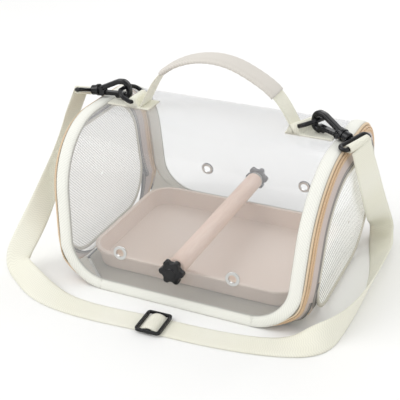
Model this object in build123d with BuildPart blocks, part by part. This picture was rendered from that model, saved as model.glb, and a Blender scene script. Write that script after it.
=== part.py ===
"""Travel carrier for a small pet: a soft bag with a clear wrap-around window, zipped mesh end doors,
a moulded floor tray, a perch held by two star knobs, a padded handle and a clip-on shoulder strap.
Millimetres, +X to the right end, -Y to the front window, +Z up, origin under the middle of the base."""
import os
from math import atan2, cos, degrees, radians, sin, tan

from build123d import *

os.makedirs("parts", exist_ok=True)

# ---- bag body ----
END_X = 120.0  # half length of the base
END_LEAN = 3.5  # degrees by which each end leans outward
BASE_HALF = 108.0  # half depth at the floor
TOP_HALF = 94.0  # half depth that the straight sides would reach at the top
BAG_H = 153.0
TOP_R = 70.0  # big round from the sides into the top
CORNER_R = 45.0  # rounding of the lower corners
CORNER_FLAT = CORNER_R / 2**0.5  # the same along the plan's diagonal
SIDE_LEAN = degrees(atan2(BASE_HALF - TOP_HALF, BAG_H))

BAND_T = 3.4  # padded edge band
BAND_W = 13.0
BAND_FOOT = 11.0  # height of the band along the bottom of the window
BAND_SPLIT = 79.0  # where the end hoops meet the bottom strips
WINDOW_INSET = 1.5
WINDOW_T = 0.8
BOARD_T = 2.6

# ---- zips and end doors ----
ZIP_INSET = 6.0  # from the body's edge to the line where the two zip halves meet
ZIP_GAP = 0.8
COIL_W = 1.6
COIL_H = 2.6
TAPE_T = 1.0
TUCK = 3.2  # how far the zip lies behind the band's edge under the rounded corners
BULGE = 7.0  # how far the mesh stands out from the end plane
BULGE_W = 17.0  # width over which it swells
RIM = 0.8  # flat rim outside the swelling
PIPING_W = 3.6
PIPING_H = 2.4
DOOR_FOOT = 2.6  # height of the sewn hinge line
DOOR_CORNER = 43.0
SLIDER_Z = 58.0  # height of the zip slider at the back edge, zip closed

# ---- tray and perch ----
TRAY_L, TRAY_W, TRAY_H = 216.0, 156.0, 20.0
TRAY_R = 25.0
TRAY_Y = 2.0
TRAY_T = 2.0
PERCH_Z = 40.0
PERCH_R = 9.0
PERCH_HALF = 100.8
STUD_R = 2.5
WASHER_Y = 104.0
KNOB_Y = 105.5
KNOB_R, LOBE_R = 12.5, 3.3
KNOB_H = 7.0
EYELET_X, EYELET_Z = 57.0, 43.0
EYELET_HOLE_R = 4.0
EYELET_R = 7.0

# ---- webbing and its hardware ----
WEB_W = 25.0
WEB_T = 1.6
ANCHOR_IN, ANCHOR_OUT = 70.0, 115.0
ROD_R = 2.1
RING_HALF, RING_D = 15.0, 17.0
RING_TILT = 27.0
BAR_Z = 158.2
LEFT_BAR, LEFT_TURN = (-88.0, 0.0), 180.0
RIGHT_BAR, RIGHT_TURN = (85.5, 5.0), -25.0
HOOK_W, HOOK_H = 6.6, 5.0
HOOK_SAG = 10.0
GATE_PIN = (22.5, -2.6)
GATE_W = 5.2
BARREL_R = 5.0
STRAP_BAR = 45.0  # from the hook's bend to the bar that holds the strap
LOOP_HALF = 16.5
LOOP_ROLL_LEFT, LOOP_ROLL_RIGHT = 20.0, 8.0


def hoop(half_low, half_high, low, high, r_top, r_low=0.0):
    """Flat D-shaped outline: straight leaning sides, big round top corners, optional round lower ones."""
    with BuildSketch(Plane.XY) as face:
        with BuildLine():
            Polyline((-half_low, low), (half_low, low), (half_high, high), (-half_high, high), close=True)
        make_face()
        fillet(face.vertices().group_by(Axis.Y)[-1], r_top)
        if r_low:
            fillet(face.vertices().group_by(Axis.Y)[0], r_low)
    return face.sketch


def side_half(level, inset=0.0):
    """Half depth of the body at a height, the inset measured square to the leaning side."""
    return BASE_HALF - (BASE_HALF - TOP_HALF) * level / BAG_H - inset / cos(radians(SIDE_LEAN))


def outline(inset, low=0.0, r_low=0.0):
    """The body's cross-section, drawn in by the inset."""
    high = BAG_H - inset
    return hoop(side_half(low, inset), side_half(high, inset), low, high, TOP_R - inset, r_low)


def end_plane(offset=0.0):
    """The leaning plane of the right end: x runs along Y, y up the slope, z outward."""
    out = (cos(radians(END_LEAN)), 0, -sin(radians(END_LEAN)))
    return Plane((END_X + out[0] * offset, 0, out[2] * offset), x_dir=(0, 1, 0), z_dir=out)


def side_plane(face, x, z, inset):
    """A plane on the front (face -1) or back (+1) side, z outward."""
    lean = radians(SIDE_LEAN)
    origin = (x, face * side_half(z, inset), z)
    return Plane(origin, x_dir=(1, 0, 0), z_dir=(0, face * cos(lean), sin(lean)))


def save(piece, name):
    piece.label = name
    export_step(piece, f"parts/{name}.step")


def prism(inset, low=0.0):
    """The cross-section run through the whole length."""
    with BuildPart() as solid:
        with BuildSketch(Plane.YZ.offset(-170)):
            add(outline(inset, low))
        extrude(amount=340)
    return solid.part


def corner_plane(face):
    """An upright plane square to the lower right corner's rounding, centred on it, x outward."""
    across = (1 / 2**0.5, face / 2**0.5, 0)
    origin = (END_X + 0.9 - across[0] * CORNER_FLAT, face * side_half(15) - across[1] * CORNER_FLAT, CORNER_R)
    return Plane(origin, x_dir=across, z_dir=(across[1], -across[0], 0))


def corner_cut(face, grow=0.0, tuck=0.0):
    """What the rounded lower right corner on one face takes off: the space outside an elliptic cylinder."""
    with BuildPart() as cut:
        with BuildSketch(corner_plane(face)):
            Rectangle(90, CORNER_R + 20, align=(Align.MIN, Align.MAX))
            Ellipse(CORNER_FLAT + grow, CORNER_R - tuck + grow, mode=Mode.SUBTRACT)
        extrude(amount=150, both=True)
    return cut.part


def dome(rise=0.0):
    """The swollen right end inside its hoop, moved outward by the rise."""
    with BuildPart() as solid:
        with BuildSketch(end_plane(rise - 4)):
            add(outline(RIM, DOOR_FOOT, CORNER_R))
        extrude(amount=4)
        with BuildSketch(end_plane(rise)):
            add(outline(RIM, DOOR_FOOT, CORNER_R))
        with BuildSketch(end_plane(rise + BULGE)):
            add(outline(BULGE_W, DOOR_FOOT + BULGE_W, CORNER_R - BULGE_W))
        loft(ruled=True)
    return solid.part


def end_body(rise=0.0):
    """The right half of the bag's outer form with its end plane and rounded corners grown by the rise."""
    with BuildPart() as solid:
        with BuildSketch(Plane.YZ.offset(60)):
            add(outline(0.3))
        extrude(amount=90)
        split(bisect_by=end_plane(rise), keep=Keep.BOTTOM)
        for face in (-1, 1):
            add(corner_cut(face, rise, TUCK), mode=Mode.SUBTRACT)
        add(dome(rise))
    return solid.part


def face_region(inset, foot, radius):
    """A slab through the depth with the front face's outline, for the band and the window."""
    lean = tan(radians(END_LEAN))
    low, high = END_X - inset + foot * lean, END_X - inset + (BAG_H + 20) * lean
    with BuildPart() as slab:
        with BuildSketch(Plane.XZ.offset(-140)) as face:
            with BuildLine():
                Polyline((-low, foot), (low, foot), (high, BAG_H + 20), (-high, BAG_H + 20), close=True)
            make_face()
            fillet(face.vertices().group_by(Axis.Y)[0], radius)
        extrude(amount=280)
    return slab.part


# ---- base board, bands and window ----
with BuildPart() as base_panel:
    with BuildSketch() as plan:
        Rectangle(2 * END_X - 6, 2 * side_half(BOARD_T, BAND_T) - 0.2)
        chamfer(plan.vertices(), 44)
    extrude(amount=BOARD_T)
    fillet(base_panel.edges().group_by(Axis.Z)[-1], 0.8)
save(base_panel.part, "base_panel")

window_region = face_region(BAND_W, BAND_FOOT, CORNER_R - BAND_W + 2)

with BuildPart() as band:
    add(prism(0))
    add(prism(BAND_T, -1), mode=Mode.SUBTRACT)
    split(bisect_by=end_plane(), keep=Keep.BOTTOM)
    split(bisect_by=Plane.YZ, keep=Keep.TOP)
    for face in (-1, 1):
        add(corner_cut(face), mode=Mode.SUBTRACT)
    add(window_region, mode=Mode.SUBTRACT)

with BuildPart() as band_right:
    add(band.part)
    split(bisect_by=Plane.YZ.offset(BAND_SPLIT), keep=Keep.TOP)
save(band_right.part, "band_right")

with BuildPart() as band_left:
    mirror(band_right.part, about=Plane.YZ)
save(band_left.part, "band_left")

with BuildPart() as bottom_strips:
    add(band.part)
    mirror(band.part, about=Plane.YZ)
    split(bisect_by=Plane.YZ.offset(BAND_SPLIT), keep=Keep.BOTTOM)
    split(bisect_by=Plane.YZ.offset(-BAND_SPLIT), keep=Keep.TOP)

for name, face in (("band_bottom_front", -1), ("band_bottom_back", 1)):
    with BuildPart() as strip:
        add(bottom_strips.part)
        split(bisect_by=Plane.XZ, keep=Keep.TOP if face < 0 else Keep.BOTTOM)
    save(strip.part, name)

with BuildPart() as window_wrap:
    add(prism(WINDOW_INSET))
    add(prism(WINDOW_INSET + WINDOW_T, -1), mode=Mode.SUBTRACT)
    add(window_region, mode=Mode.INTERSECT)
    for face in (-1, 1):
        with Locations(side_plane(face, 0, PERCH_Z, WINDOW_INSET).location):
            Cylinder(STUD_R + 0.7, 12, mode=Mode.SUBTRACT)
        for x in (-EYELET_X, EYELET_X):
            with Locations(side_plane(face, x, EYELET_Z, WINDOW_INSET).location):
                Cylinder(EYELET_HOLE_R + 0.7, 12, mode=Mode.SUBTRACT)
save(window_wrap.part, "window_wrap")

# ---- body side of the zip, corner patches and end welts ----
form, form_tape, form_coil = end_body(0), end_body(TAPE_T), end_body(COIL_H)
SEAM_IN, SEAM_OUT = ZIP_INSET - ZIP_GAP / 2, ZIP_INSET + ZIP_GAP / 2

with BuildPart() as coil_in:
    add(form_coil)
    add(form, mode=Mode.SUBTRACT)
    add(prism(SEAM_IN - COIL_W), mode=Mode.INTERSECT)
    add(prism(SEAM_IN, -1), mode=Mode.SUBTRACT)

with BuildPart() as zip_tape_right:
    add(form_tape)
    add(form, mode=Mode.SUBTRACT)
    add(prism(SEAM_IN, -1), mode=Mode.SUBTRACT)
    add(coil_in.part)
    add(band_right.part, mode=Mode.SUBTRACT)
    add(bottom_strips.part, mode=Mode.SUBTRACT)

corners = []
for face in (-1, 1):
    with BuildPart() as patch:
        with BuildSketch(corner_plane(face)):
            Ellipse(CORNER_FLAT, CORNER_R - TUCK)
            Ellipse(CORNER_FLAT - 2, CORNER_R - TUCK - 2, mode=Mode.SUBTRACT)
            Rectangle(90, 90, align=(Align.MIN, Align.MAX), mode=Mode.INTERSECT)
        extrude(amount=120, both=True)
        split(bisect_by=end_plane(-0.6), keep=Keep.BOTTOM)
        add(prism(BAND_T + 0.1), mode=Mode.INTERSECT)
    with BuildPart() as ridge:
        add(form_coil)
        add(prism(SEAM_OUT), mode=Mode.INTERSECT)
        add(prism(SEAM_OUT + COIL_W, -1), mode=Mode.SUBTRACT)
    with BuildPart() as door_half:  # the short length of the other zip half that stays closed
        add(form_tape)
        add(ridge.part)
        add(form, mode=Mode.SUBTRACT)
        add(prism(SEAM_OUT), mode=Mode.INTERSECT)
        add(prism(ZIP_INSET + 12, -1), mode=Mode.SUBTRACT)
        split(bisect_by=end_plane(-0.6), keep=Keep.BOTTOM)
        split(bisect_by=Plane.XZ, keep=Keep.TOP if face < 0 else Keep.BOTTOM)
    corners.append((patch.part, door_half.part))

with BuildPart() as welt:
    with BuildSketch():
        with Locations((END_X - 1.7, 0)):
            Rectangle(2.6, 2 * (side_half(0) - CORNER_R) - 2)
    extrude(amount=2.0)
    fillet(welt.edges().filter_by(Axis.Y), 0.9)

# ---- end doors: zip tape, piping and mesh on one swollen form ----
mesh_edge = hoop(
    side_half(0, BULGE_W + ZIP_INSET / 2),
    side_half(BAG_H, BULGE_W + ZIP_INSET / 2),
    DOOR_FOOT - 0.2,
    BAG_H - BULGE_W - ZIP_INSET / 2,
    TOP_R - BULGE_W,
    DOOR_CORNER,
)


def mesh_prism(grow):
    """The mesh panel's outline run out through the end, grown by an amount."""
    with BuildPart() as solid:
        with BuildSketch(end_plane(-10)):
            add(mesh_edge)
            if grow:
                offset(amount=grow)
        extrude(amount=30)
    return solid.part


sheet_out, sheet_in = dome(TAPE_T), dome(0)
mesh_zone, piping_zone = mesh_prism(-PIPING_W), mesh_prism(0)

with BuildPart() as door_sheet:
    add(sheet_out)
    add(sheet_in, mode=Mode.SUBTRACT)
    split(bisect_by=end_plane(0.05), keep=Keep.TOP)
    add(prism(SEAM_OUT), mode=Mode.INTERSECT)

with BuildPart() as coil_out:
    add(dome(COIL_H))
    add(sheet_in, mode=Mode.SUBTRACT)
    split(bisect_by=end_plane(0.05), keep=Keep.TOP)
    add(prism(SEAM_OUT), mode=Mode.INTERSECT)
    add(prism(SEAM_OUT + COIL_W, -1), mode=Mode.SUBTRACT)

with BuildPart() as door_tape_right:
    add(door_sheet.part)
    add(coil_out.part)
    add(piping_zone, mode=Mode.SUBTRACT)

with BuildPart() as door_mesh_right:
    add(door_sheet.part)
    add(mesh_zone, mode=Mode.INTERSECT)

with BuildPart() as door_piping_right:
    add(dome(TAPE_T + PIPING_H))
    add(sheet_in, mode=Mode.SUBTRACT)
    split(bisect_by=end_plane(0.05), keep=Keep.TOP)
    add(piping_zone, mode=Mode.INTERSECT)
    add(mesh_zone, mode=Mode.SUBTRACT)

pieces = {
    "zip_tape": zip_tape_right.part,
    "corner_front": corners[0][0],
    "corner_back": corners[1][0],
    "zip_end_front": corners[0][1],
    "zip_end_back": corners[1][1],
    "base_welt": welt.part,
    "door_tape": door_tape_right.part,
    "door_mesh": door_mesh_right.part,
    "door_piping": door_piping_right.part,
}
for name, piece in pieces.items():
    save(piece, f"{name}_right")
    with BuildPart() as other:
        mirror(piece, about=Plane.YZ)
    save(other.part, f"{name}_left")

# ---- zip sliders at the foot of the back edge, lying on the slope of the zip ----
SLOPE = degrees(atan2(BULGE, BULGE_W))
upright = Plane(
    (END_X + SLIDER_Z * tan(radians(END_LEAN)), side_half(SLIDER_Z, ZIP_INSET), SLIDER_Z),
    x_dir=(0, cos(radians(SIDE_LEAN)), sin(radians(SIDE_LEAN))),
    z_dir=(cos(radians(END_LEAN)), 0, -sin(radians(END_LEAN))),
)
seat = upright.location * Location((0, 0, BULGE * ZIP_INSET / BULGE_W)) * Location((0, 0, 0), (0, SLOPE, 0))
PULL_AXIS = 6.9

with BuildPart() as zip_slider:
    with BuildSketch(Plane.XY.offset(1.3)) as plan:
        with BuildLine():
            Polyline((-5.0, -6), (4.0, -6), (4.4, 5), (-5.4, 5), close=True)
        make_face()
        fillet(plan.vertices(), 1.4)
    extrude(amount=3.6)
    fillet(zip_slider.edges().group_by(Axis.Z)[-1], 0.7)
    with Locations((-0.5, 0, 0)):
        Box(6.2, 20, 3.1, align=(Align.CENTER, Align.CENTER, Align.MIN), mode=Mode.SUBTRACT)
    with BuildSketch(Plane.YZ.offset(-2.0)):  # the arch that carries the pull
        with Locations((-0.5, PULL_AXIS)):
            Circle(2.6)
            Rectangle(5.2, 2.6, align=(Align.CENTER, Align.MAX))
            Circle(1.3, mode=Mode.SUBTRACT)
    extrude(amount=3.0)

with BuildPart() as zip_pull:
    with BuildSketch(Plane.XY.offset(PULL_AXIS - 1.0)) as tab:
        with Locations((-0.5, -14)):
            RectangleRounded(7, 28.6, 2.5)
        with Locations((-0.5, -1.2)):
            Rectangle(3.6, 5.4, mode=Mode.SUBTRACT)
        with Locations((-0.5, -23)):
            SlotOverall(6.5, 2.6, rotation=90, mode=Mode.SUBTRACT)
    extrude(amount=2.0)
    with Locations((-0.5, -0.5, PULL_AXIS)):
        Cylinder(0.95, 7, rotation=(0, 90, 0))

for name, piece in (("zip_slider", zip_slider.part), ("zip_pull", zip_pull.part)):
    with BuildPart() as seated:
        with Locations(seat):
            add(piece)
    save(seated.part, f"{name}_right")
    with BuildPart() as other:
        mirror(seated.part, about=Plane.YZ)
    save(other.part, f"{name}_left")

# ---- moulded tray ----
with BuildPart() as tray:
    with BuildSketch(Plane.XY.offset(BOARD_T + 0.4)):
        with Locations((0, TRAY_Y)):
            RectangleRounded(TRAY_L - 8, TRAY_W - 8, TRAY_R - 4)
    extrude(amount=TRAY_H, taper=-11)
    fillet(tray.edges().group_by(Axis.Z)[0], 2.4)
    with BuildSketch(Plane.XY.offset(BOARD_T + 0.4 + TRAY_H - 2.4)):
        with Locations((0, TRAY_Y)):
            RectangleRounded(TRAY_L + 4, TRAY_W + 4, TRAY_R + 2)
    extrude(amount=2.4)
    fillet(tray.edges().group_by(Axis.Z)[-1], 1.0)
    with BuildSketch(Plane.XY.offset(BOARD_T + 0.4 + TRAY_T)):
        with Locations((0, TRAY_Y)):
            RectangleRounded(TRAY_L - 11.4, TRAY_W - 11.4, TRAY_R - 5.7)
    extrude(amount=TRAY_H, taper=-11, mode=Mode.SUBTRACT)
save(tray.part, "tray")

# ---- perch: dowel, threaded inserts, washers, star knobs ----
INSERT_R, INSERT_L = 4.0, 15.0
STUD_L = KNOB_Y - PERCH_HALF + 11

with BuildPart() as perch_dowel:
    with Locations((0, 0, PERCH_Z)):
        Cylinder(PERCH_R, 2 * PERCH_HALF, rotation=(90, 0, 0))
    chamfer(perch_dowel.edges().filter_by(GeomType.CIRCLE), 0.8)
    for face in (-1, 1):
        with Locations(Location((0, face * PERCH_HALF, PERCH_Z), (90 * -face, 0, 0))):
            Cylinder(INSERT_R, 2 * INSERT_L, mode=Mode.SUBTRACT)
save(perch_dowel.part, "perch_dowel")

with BuildPart() as perch_inserts:
    for face in (-1, 1):
        with Locations(Location((0, face * (PERCH_HALF - INSERT_L / 2), PERCH_Z), (90, 0, 0))):
            Cylinder(INSERT_R, INSERT_L)
            Cylinder(STUD_R + 0.05, INSERT_L, mode=Mode.SUBTRACT)
save(perch_inserts.part, "perch_inserts")

with BuildPart() as star_knob:  # lobed grip on a round skirt, with a domed hub
    with BuildSketch():
        Circle(8.6)
    extrude(amount=2.0)
    with BuildSketch(Plane.XY.offset(1.2)) as star:
        Circle(9.6)
        with PolarLocations(KNOB_R - LOBE_R, 6):
            Circle(LOBE_R)
        fillet(star.vertices(), 1.6)
    extrude(amount=KNOB_H - 1.2)
    fillet(star_knob.edges().group_by(Axis.Z)[-1], 1.2)
    with Locations((0, 0, KNOB_H - 0.4)):
        Cone(5.6, 4.6, 1.6, align=(Align.CENTER, Align.CENTER, Align.MIN))
    fillet(star_knob.edges().group_by(Axis.Z)[-1], 1.1)

with BuildPart() as stud:
    with Locations((0, 0, 2.5)):
        Cylinder(STUD_R, STUD_L + 2.5, align=(Align.CENTER, Align.CENTER, Align.MAX))
    chamfer(stud.edges().group_by(Axis.Z)[0], 0.5)

with BuildPart() as grip:
    add(star_knob.part)
    add(stud.part, mode=Mode.SUBTRACT)

with BuildPart() as washer:
    with BuildSketch(Plane.XY.offset(WASHER_Y - KNOB_Y)):
        Circle(8.0)
        Circle(STUD_R + 0.3, mode=Mode.SUBTRACT)
    extrude(amount=1.2)
    fillet(washer.edges().group_by(Axis.Z)[-1].sort_by(SortBy.RADIUS)[-1], 0.4)

for name, face in (("front", -1), ("back", 1)):
    facing = Plane((0, face * KNOB_Y, PERCH_Z), x_dir=(1, 0, 0), z_dir=(0, face, 0))
    for title, piece in (("star_knob", grip.part), ("knob_stud", stud.part), ("knob_washer", washer.part)):
        with BuildPart() as seated:
            with Locations(facing.location):
                add(piece)
        save(seated.part, f"{title}_{name}")
    with BuildPart() as eyelets:
        for x in (-EYELET_X, EYELET_X):
            at = side_plane(face, x, EYELET_Z, WINDOW_INSET)
            with BuildSketch(at):
                Circle(EYELET_R)
                Circle(EYELET_HOLE_R, mode=Mode.SUBTRACT)
            extrude(amount=0.8)
            with BuildSketch(at):
                Circle(EYELET_HOLE_R + 0.7)
                Circle(EYELET_HOLE_R, mode=Mode.SUBTRACT)
            extrude(amount=-WINDOW_T - 0.6)
            with BuildSketch(at.offset(-WINDOW_T)):
                Circle(EYELET_R - 0.8)
                Circle(EYELET_HOLE_R + 0.7, mode=Mode.SUBTRACT)
            extrude(amount=-0.6)
        rims = eyelets.edges().filter_by(GeomType.CIRCLE)
        fillet(rims.filter_by(lambda rim: abs(rim.radius - EYELET_R) < 0.01), 0.35)
    save(eyelets.part, f"eyelets_{name}")

# ---- carrying handle: one run of webbing with a padded sleeve over its middle ----
HANDLE = [(-82, 148), (-60, 193), (-22, 209.5), (12, 209.5), (58, 187), (81.5, 148)]
HANDLE_R = [42, 50, 50, 45]
SLEEVE_X = 58.0
SLEEVE_T = 4.6


def along(points, radii, width, thick):
    """A flat band along a route in the XZ plane, its width along Y."""
    with BuildPart() as solid:
        with BuildLine(Plane.XZ) as route:
            FilletPolyline(*points, radius=radii)
        with BuildSketch(Plane(route.line @ 0, x_dir=(0, 1, 0), z_dir=route.line % 0)):
            Rectangle(width, thick)
        sweep(path=route.line)
    return solid.part


def between(piece, low, high):
    with BuildPart() as cut:
        add(piece)
        split(bisect_by=Plane.YZ.offset(low), keep=Keep.TOP)
        split(bisect_by=Plane.YZ.offset(high), keep=Keep.BOTTOM)
    return cut.part


TOP_Z = BAG_H - WINDOW_INSET
handle_band = along(HANDLE, HANDLE_R, WEB_W, WEB_T)
save(between(handle_band, 0.4 - SLEEVE_X, SLEEVE_X - 0.4), "handle_webbing")

with BuildPart() as handle_sleeve:
    add(along(HANDLE, HANDLE_R, WEB_W + 3, SLEEVE_T))
    fillet(handle_sleeve.edges().filter_by(lambda edge: edge.length > WEB_W + 3.1), 1.4)
    add(along(HANDLE, HANDLE_R, WEB_W, WEB_T), mode=Mode.SUBTRACT)
    split(bisect_by=Plane.YZ.offset(0.4 - SLEEVE_X), keep=Keep.TOP)
    split(bisect_by=Plane.YZ.offset(SLEEVE_X - 0.4), keep=Keep.BOTTOM)
save(handle_sleeve.part, "handle_sleeve")

legs = {}
for name, low, high in (("left", -110, -SLEEVE_X), ("right", SLEEVE_X, 110)):
    with BuildPart() as leg:
        add(between(handle_band, low, high))
        split(bisect_by=Plane.XY.offset(TOP_Z + WEB_T), keep=Keep.TOP)
    legs[name] = leg.part
    save(leg.part, f"handle_leg_{name}")

# ---- top webbing with the loop over each D-ring's bar ----
for name, bar, turn, low, high in (
    ("left", LEFT_BAR, LEFT_TURN, -ANCHOR_OUT, -ANCHOR_IN),
    ("right", RIGHT_BAR, RIGHT_TURN, ANCHOR_IN, ANCHOR_OUT),
):
    ahead = (cos(radians(turn)), sin(radians(turn)), 0)
    across = Plane((*bar, BAR_Z), x_dir=ahead, z_dir=(ahead[1], -ahead[0], 0))
    with BuildPart() as hump:
        with BuildSketch(across):
            Circle(ROD_R + 0.4 + WEB_T)
            with Locations((0, TOP_Z - BAR_Z + 0.5)):
                Rectangle(9.4, 1.0)
            make_hull()
        extrude(amount=11.6, both=True)
        with BuildSketch():
            Rectangle(400, WEB_W)
        extrude(amount=200, mode=Mode.INTERSECT)
    with BuildPart() as anchor:
        with BuildSketch(Plane.XY.offset(TOP_Z)):
            with Locations(((low + high) / 2, 0)):
                Rectangle(high - low, WEB_W)
        extrude(amount=WEB_T)
        add(hump.part)
        with BuildSketch(across):
            Circle(ROD_R + 0.4)
        extrude(amount=40, both=True, mode=Mode.SUBTRACT)
        add(legs[name], mode=Mode.SUBTRACT)
    save(anchor.part, f"top_anchor_{name}")

# ---- D-ring, snap hook, gate and swivel ring, drawn about their own axes ----
with BuildPart() as d_ring:  # bar on Y through the origin, bow toward +X
    with BuildLine() as bow:
        half, end = RING_HALF, RING_D
        corner = [(0, half), (end - 6, half), (end, half - 7)]
        other = [(x, -y) for x, y in reversed(corner)]
        FilletPolyline(*corner, *other, radius=[3.2, 5, 5, 5, 5, 3.2], close=True)
    with BuildSketch(Plane(bow.line @ 0, z_dir=bow.line % 0)):
        Circle(ROD_R)
    sweep(path=bow.line)

with BuildPart() as hook_rod:
    with BuildLine(Plane.XZ) as bend:
        FilletPolyline((28, 0.7), (3, 7.9), (-7.4, 7.2), (-7.0, -8.2), (1.5, -8.5), radius=[10, 6.3, 5.2])
    with BuildSketch(Plane(bend.line @ 0, x_dir=(0, 1, 0), z_dir=bend.line % 0)):
        RectangleRounded(HOOK_W, HOOK_H, 1.9)
    sweep(path=bend.line)

with BuildPart() as snap_hook:
    add(hook_rod.part)
    with BuildSketch(Plane.XZ) as cheek:  # cheeks that hold the gate's pin
        with Locations(GATE_PIN):
            Circle(2.9)
        with Locations((25, 1.4)):
            Rectangle(7, 5)
        make_hull()
    extrude(amount=GATE_W / 2 + 1.5, both=True)
    with BuildSketch(Plane.YZ.offset(25.4)):
        Circle(BARREL_R)
    extrude(amount=9.6)
    with Locations((27.4, 0, 0)):
        Cylinder(BARREL_R + 0.9, 2.2, rotation=(0, 90, 0))
    fillet(snap_hook.faces().sort_by(Axis.X)[-1].edges(), 1.0)
    with BuildSketch(Plane.YZ.offset(28.6)):
        Circle(3.5)
    extrude(amount=4.4, mode=Mode.SUBTRACT)
    with BuildSketch(Plane.YZ.offset(32)):
        Circle(ROD_R + 0.05)
    extrude(amount=8, mode=Mode.SUBTRACT)
    with BuildSketch(Plane.XZ) as slot:  # room for the gate between the cheeks
        with Locations(GATE_PIN):
            Circle(3.2)
        with Locations((GATE_PIN[0] - 6, GATE_PIN[1] - 1.2)):
            Rectangle(12, 5.2)
        with Locations((GATE_PIN[0], GATE_PIN[1] - 3)):
            Rectangle(6.4, 6)
    extrude(amount=GATE_W / 2 + 0.3, both=True, mode=Mode.SUBTRACT)
    with Locations((GATE_PIN[0], 0, GATE_PIN[1])):
        Cylinder(0.9, GATE_W + 2, rotation=(90, 0, 0))

with BuildPart() as snap_gate:
    with BuildSketch(Plane.XZ) as lever:
        with BuildLine():
            Polyline(
                (GATE_PIN[0], GATE_PIN[1] + 1.9), (-1.4, -3.4), (-1.8, -5.9), (2.2, -5.9), (3.4, -8.4),
                (7.2, -8.4), (9.0, -5.9), (GATE_PIN[0], GATE_PIN[1] - 1.9), close=True,
            )
        make_face()
        fillet(lever.vertices().sort_by(Axis.X)[:5], 0.5)
        with Locations(GATE_PIN):
            Circle(1.95)
            Circle(0.96, mode=Mode.SUBTRACT)
    extrude(amount=GATE_W / 2, both=True)

with BuildPart() as swivel_ring:  # stem in the hook's barrel, ring beyond it
    near = 37.4
    with BuildLine() as loop:
        sides = [(near, LOOP_HALF), (STRAP_BAR, LOOP_HALF)]
        FilletPolyline(*sides, *[(x, -y) for x, y in reversed(sides)], radius=3.4, close=True)
    with BuildSketch(Plane(loop.line @ 0, z_dir=loop.line % 0)):
        Circle(ROD_R - 0.1)
    sweep(path=loop.line)
    with BuildSketch(Plane.YZ.offset(30)):
        Circle(ROD_R)
    extrude(amount=near - 30)
    with BuildSketch(Plane.YZ.offset(29.0)):
        Circle(3.2)
    extrude(amount=2.6)


def tilted(turn, tilt, origin, roll=0.0):
    """A frame whose x points along the turn in plan, tipped up by the tilt, rolled about that x."""
    tipped = Location(origin, (0, 0, turn)) * Location((0, 0, 0), (0, -tilt, 0))
    return tipped * Location((0, 0, 0), (roll, 0, 0))


strap_bars = {}
for name, bar, turn, roll in (
    ("left", LEFT_BAR, LEFT_TURN, LOOP_ROLL_LEFT),
    ("right", RIGHT_BAR, RIGHT_TURN, LOOP_ROLL_RIGHT),
):
    ring_frame = tilted(turn, RING_TILT, (*bar, BAR_Z))
    bow_at = tuple((ring_frame * Location((RING_D, 0, 0))).position)
    hook_frame = tilted(turn, -HOOK_SAG, bow_at) * Location((1.5, 0, -1.0))
    roll_frame = hook_frame * Location((0, 0, 0), (roll, 0, 0))
    strap_bars[name] = roll_frame * Location((STRAP_BAR, 0, 0))
    for title, piece, frame in (
        ("d_ring", d_ring.part, ring_frame),
        ("snap_hook", snap_hook.part, hook_frame),
        ("snap_gate", snap_gate.part, hook_frame),
        ("swivel_ring", swivel_ring.part, roll_frame),
    ):
        with BuildPart() as seated:
            with Locations(frame):
                add(piece)
        save(seated.part, f"{title}_{name}")

# ---- shoulder strap: one flat band from ring to ring, over the slider's middle bar ----
SLIDER_AT = (-3.5, -141.5)
SLIDER_TURN = 2.0
SLIDER_FLOOR = 2.5
# where the middle of the band runs, and the way its width points there
LEFT_SIDE = [
    ((-155.2, -14, 138.5), (0, 0.84, -0.54)),
    ((-153.2, -30, 120), (0.06, 0.78, -0.62)),
    ((-152.5, -47, 102), (0.18, 0.72, -0.66)),
    ((-153.5, -64, 84), (0.36, 0.64, -0.66)),
    ((-155, -79, 67), (0.55, 0.55, -0.6)),
    ((-158, -92, 51), (0.75, 0.42, -0.5)),
    ((-163, -101, 36), (0.9, 0.25, -0.3)),
    ((-168.5, -106, 23), (0.95, 0.22, 0.05)),
    ((-170, -109.5, 13.5), (0.8, 0.38, 0.35)),
    ((-165, -115.5, 9.8), (0.5, 0.5, 0.66)),
    ((-153, -124, 8.4), (0.27, 0.62, 0.7)),
    ((-136, -133.5, 6.4), (0.15, 0.8, 0.5)),
    ((-118, -140, 3.8), (0.1, 0.94, 0.25)),
    ((-98, -144, 1.6), (0.04, 1, 0.06)),
    ((-74, -145.3, 1.0), (0, 1, 0)),
    ((-48, -144.6, 1.0), (-0.01, 1, 0)),
]
SLIDER_PASS = [(-13.5, 1.0), (-9.6, 1.0), (-3.4, 5.4), (3.4, 5.4), (9.6, 1.0), (13.5, 1.0)]
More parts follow.
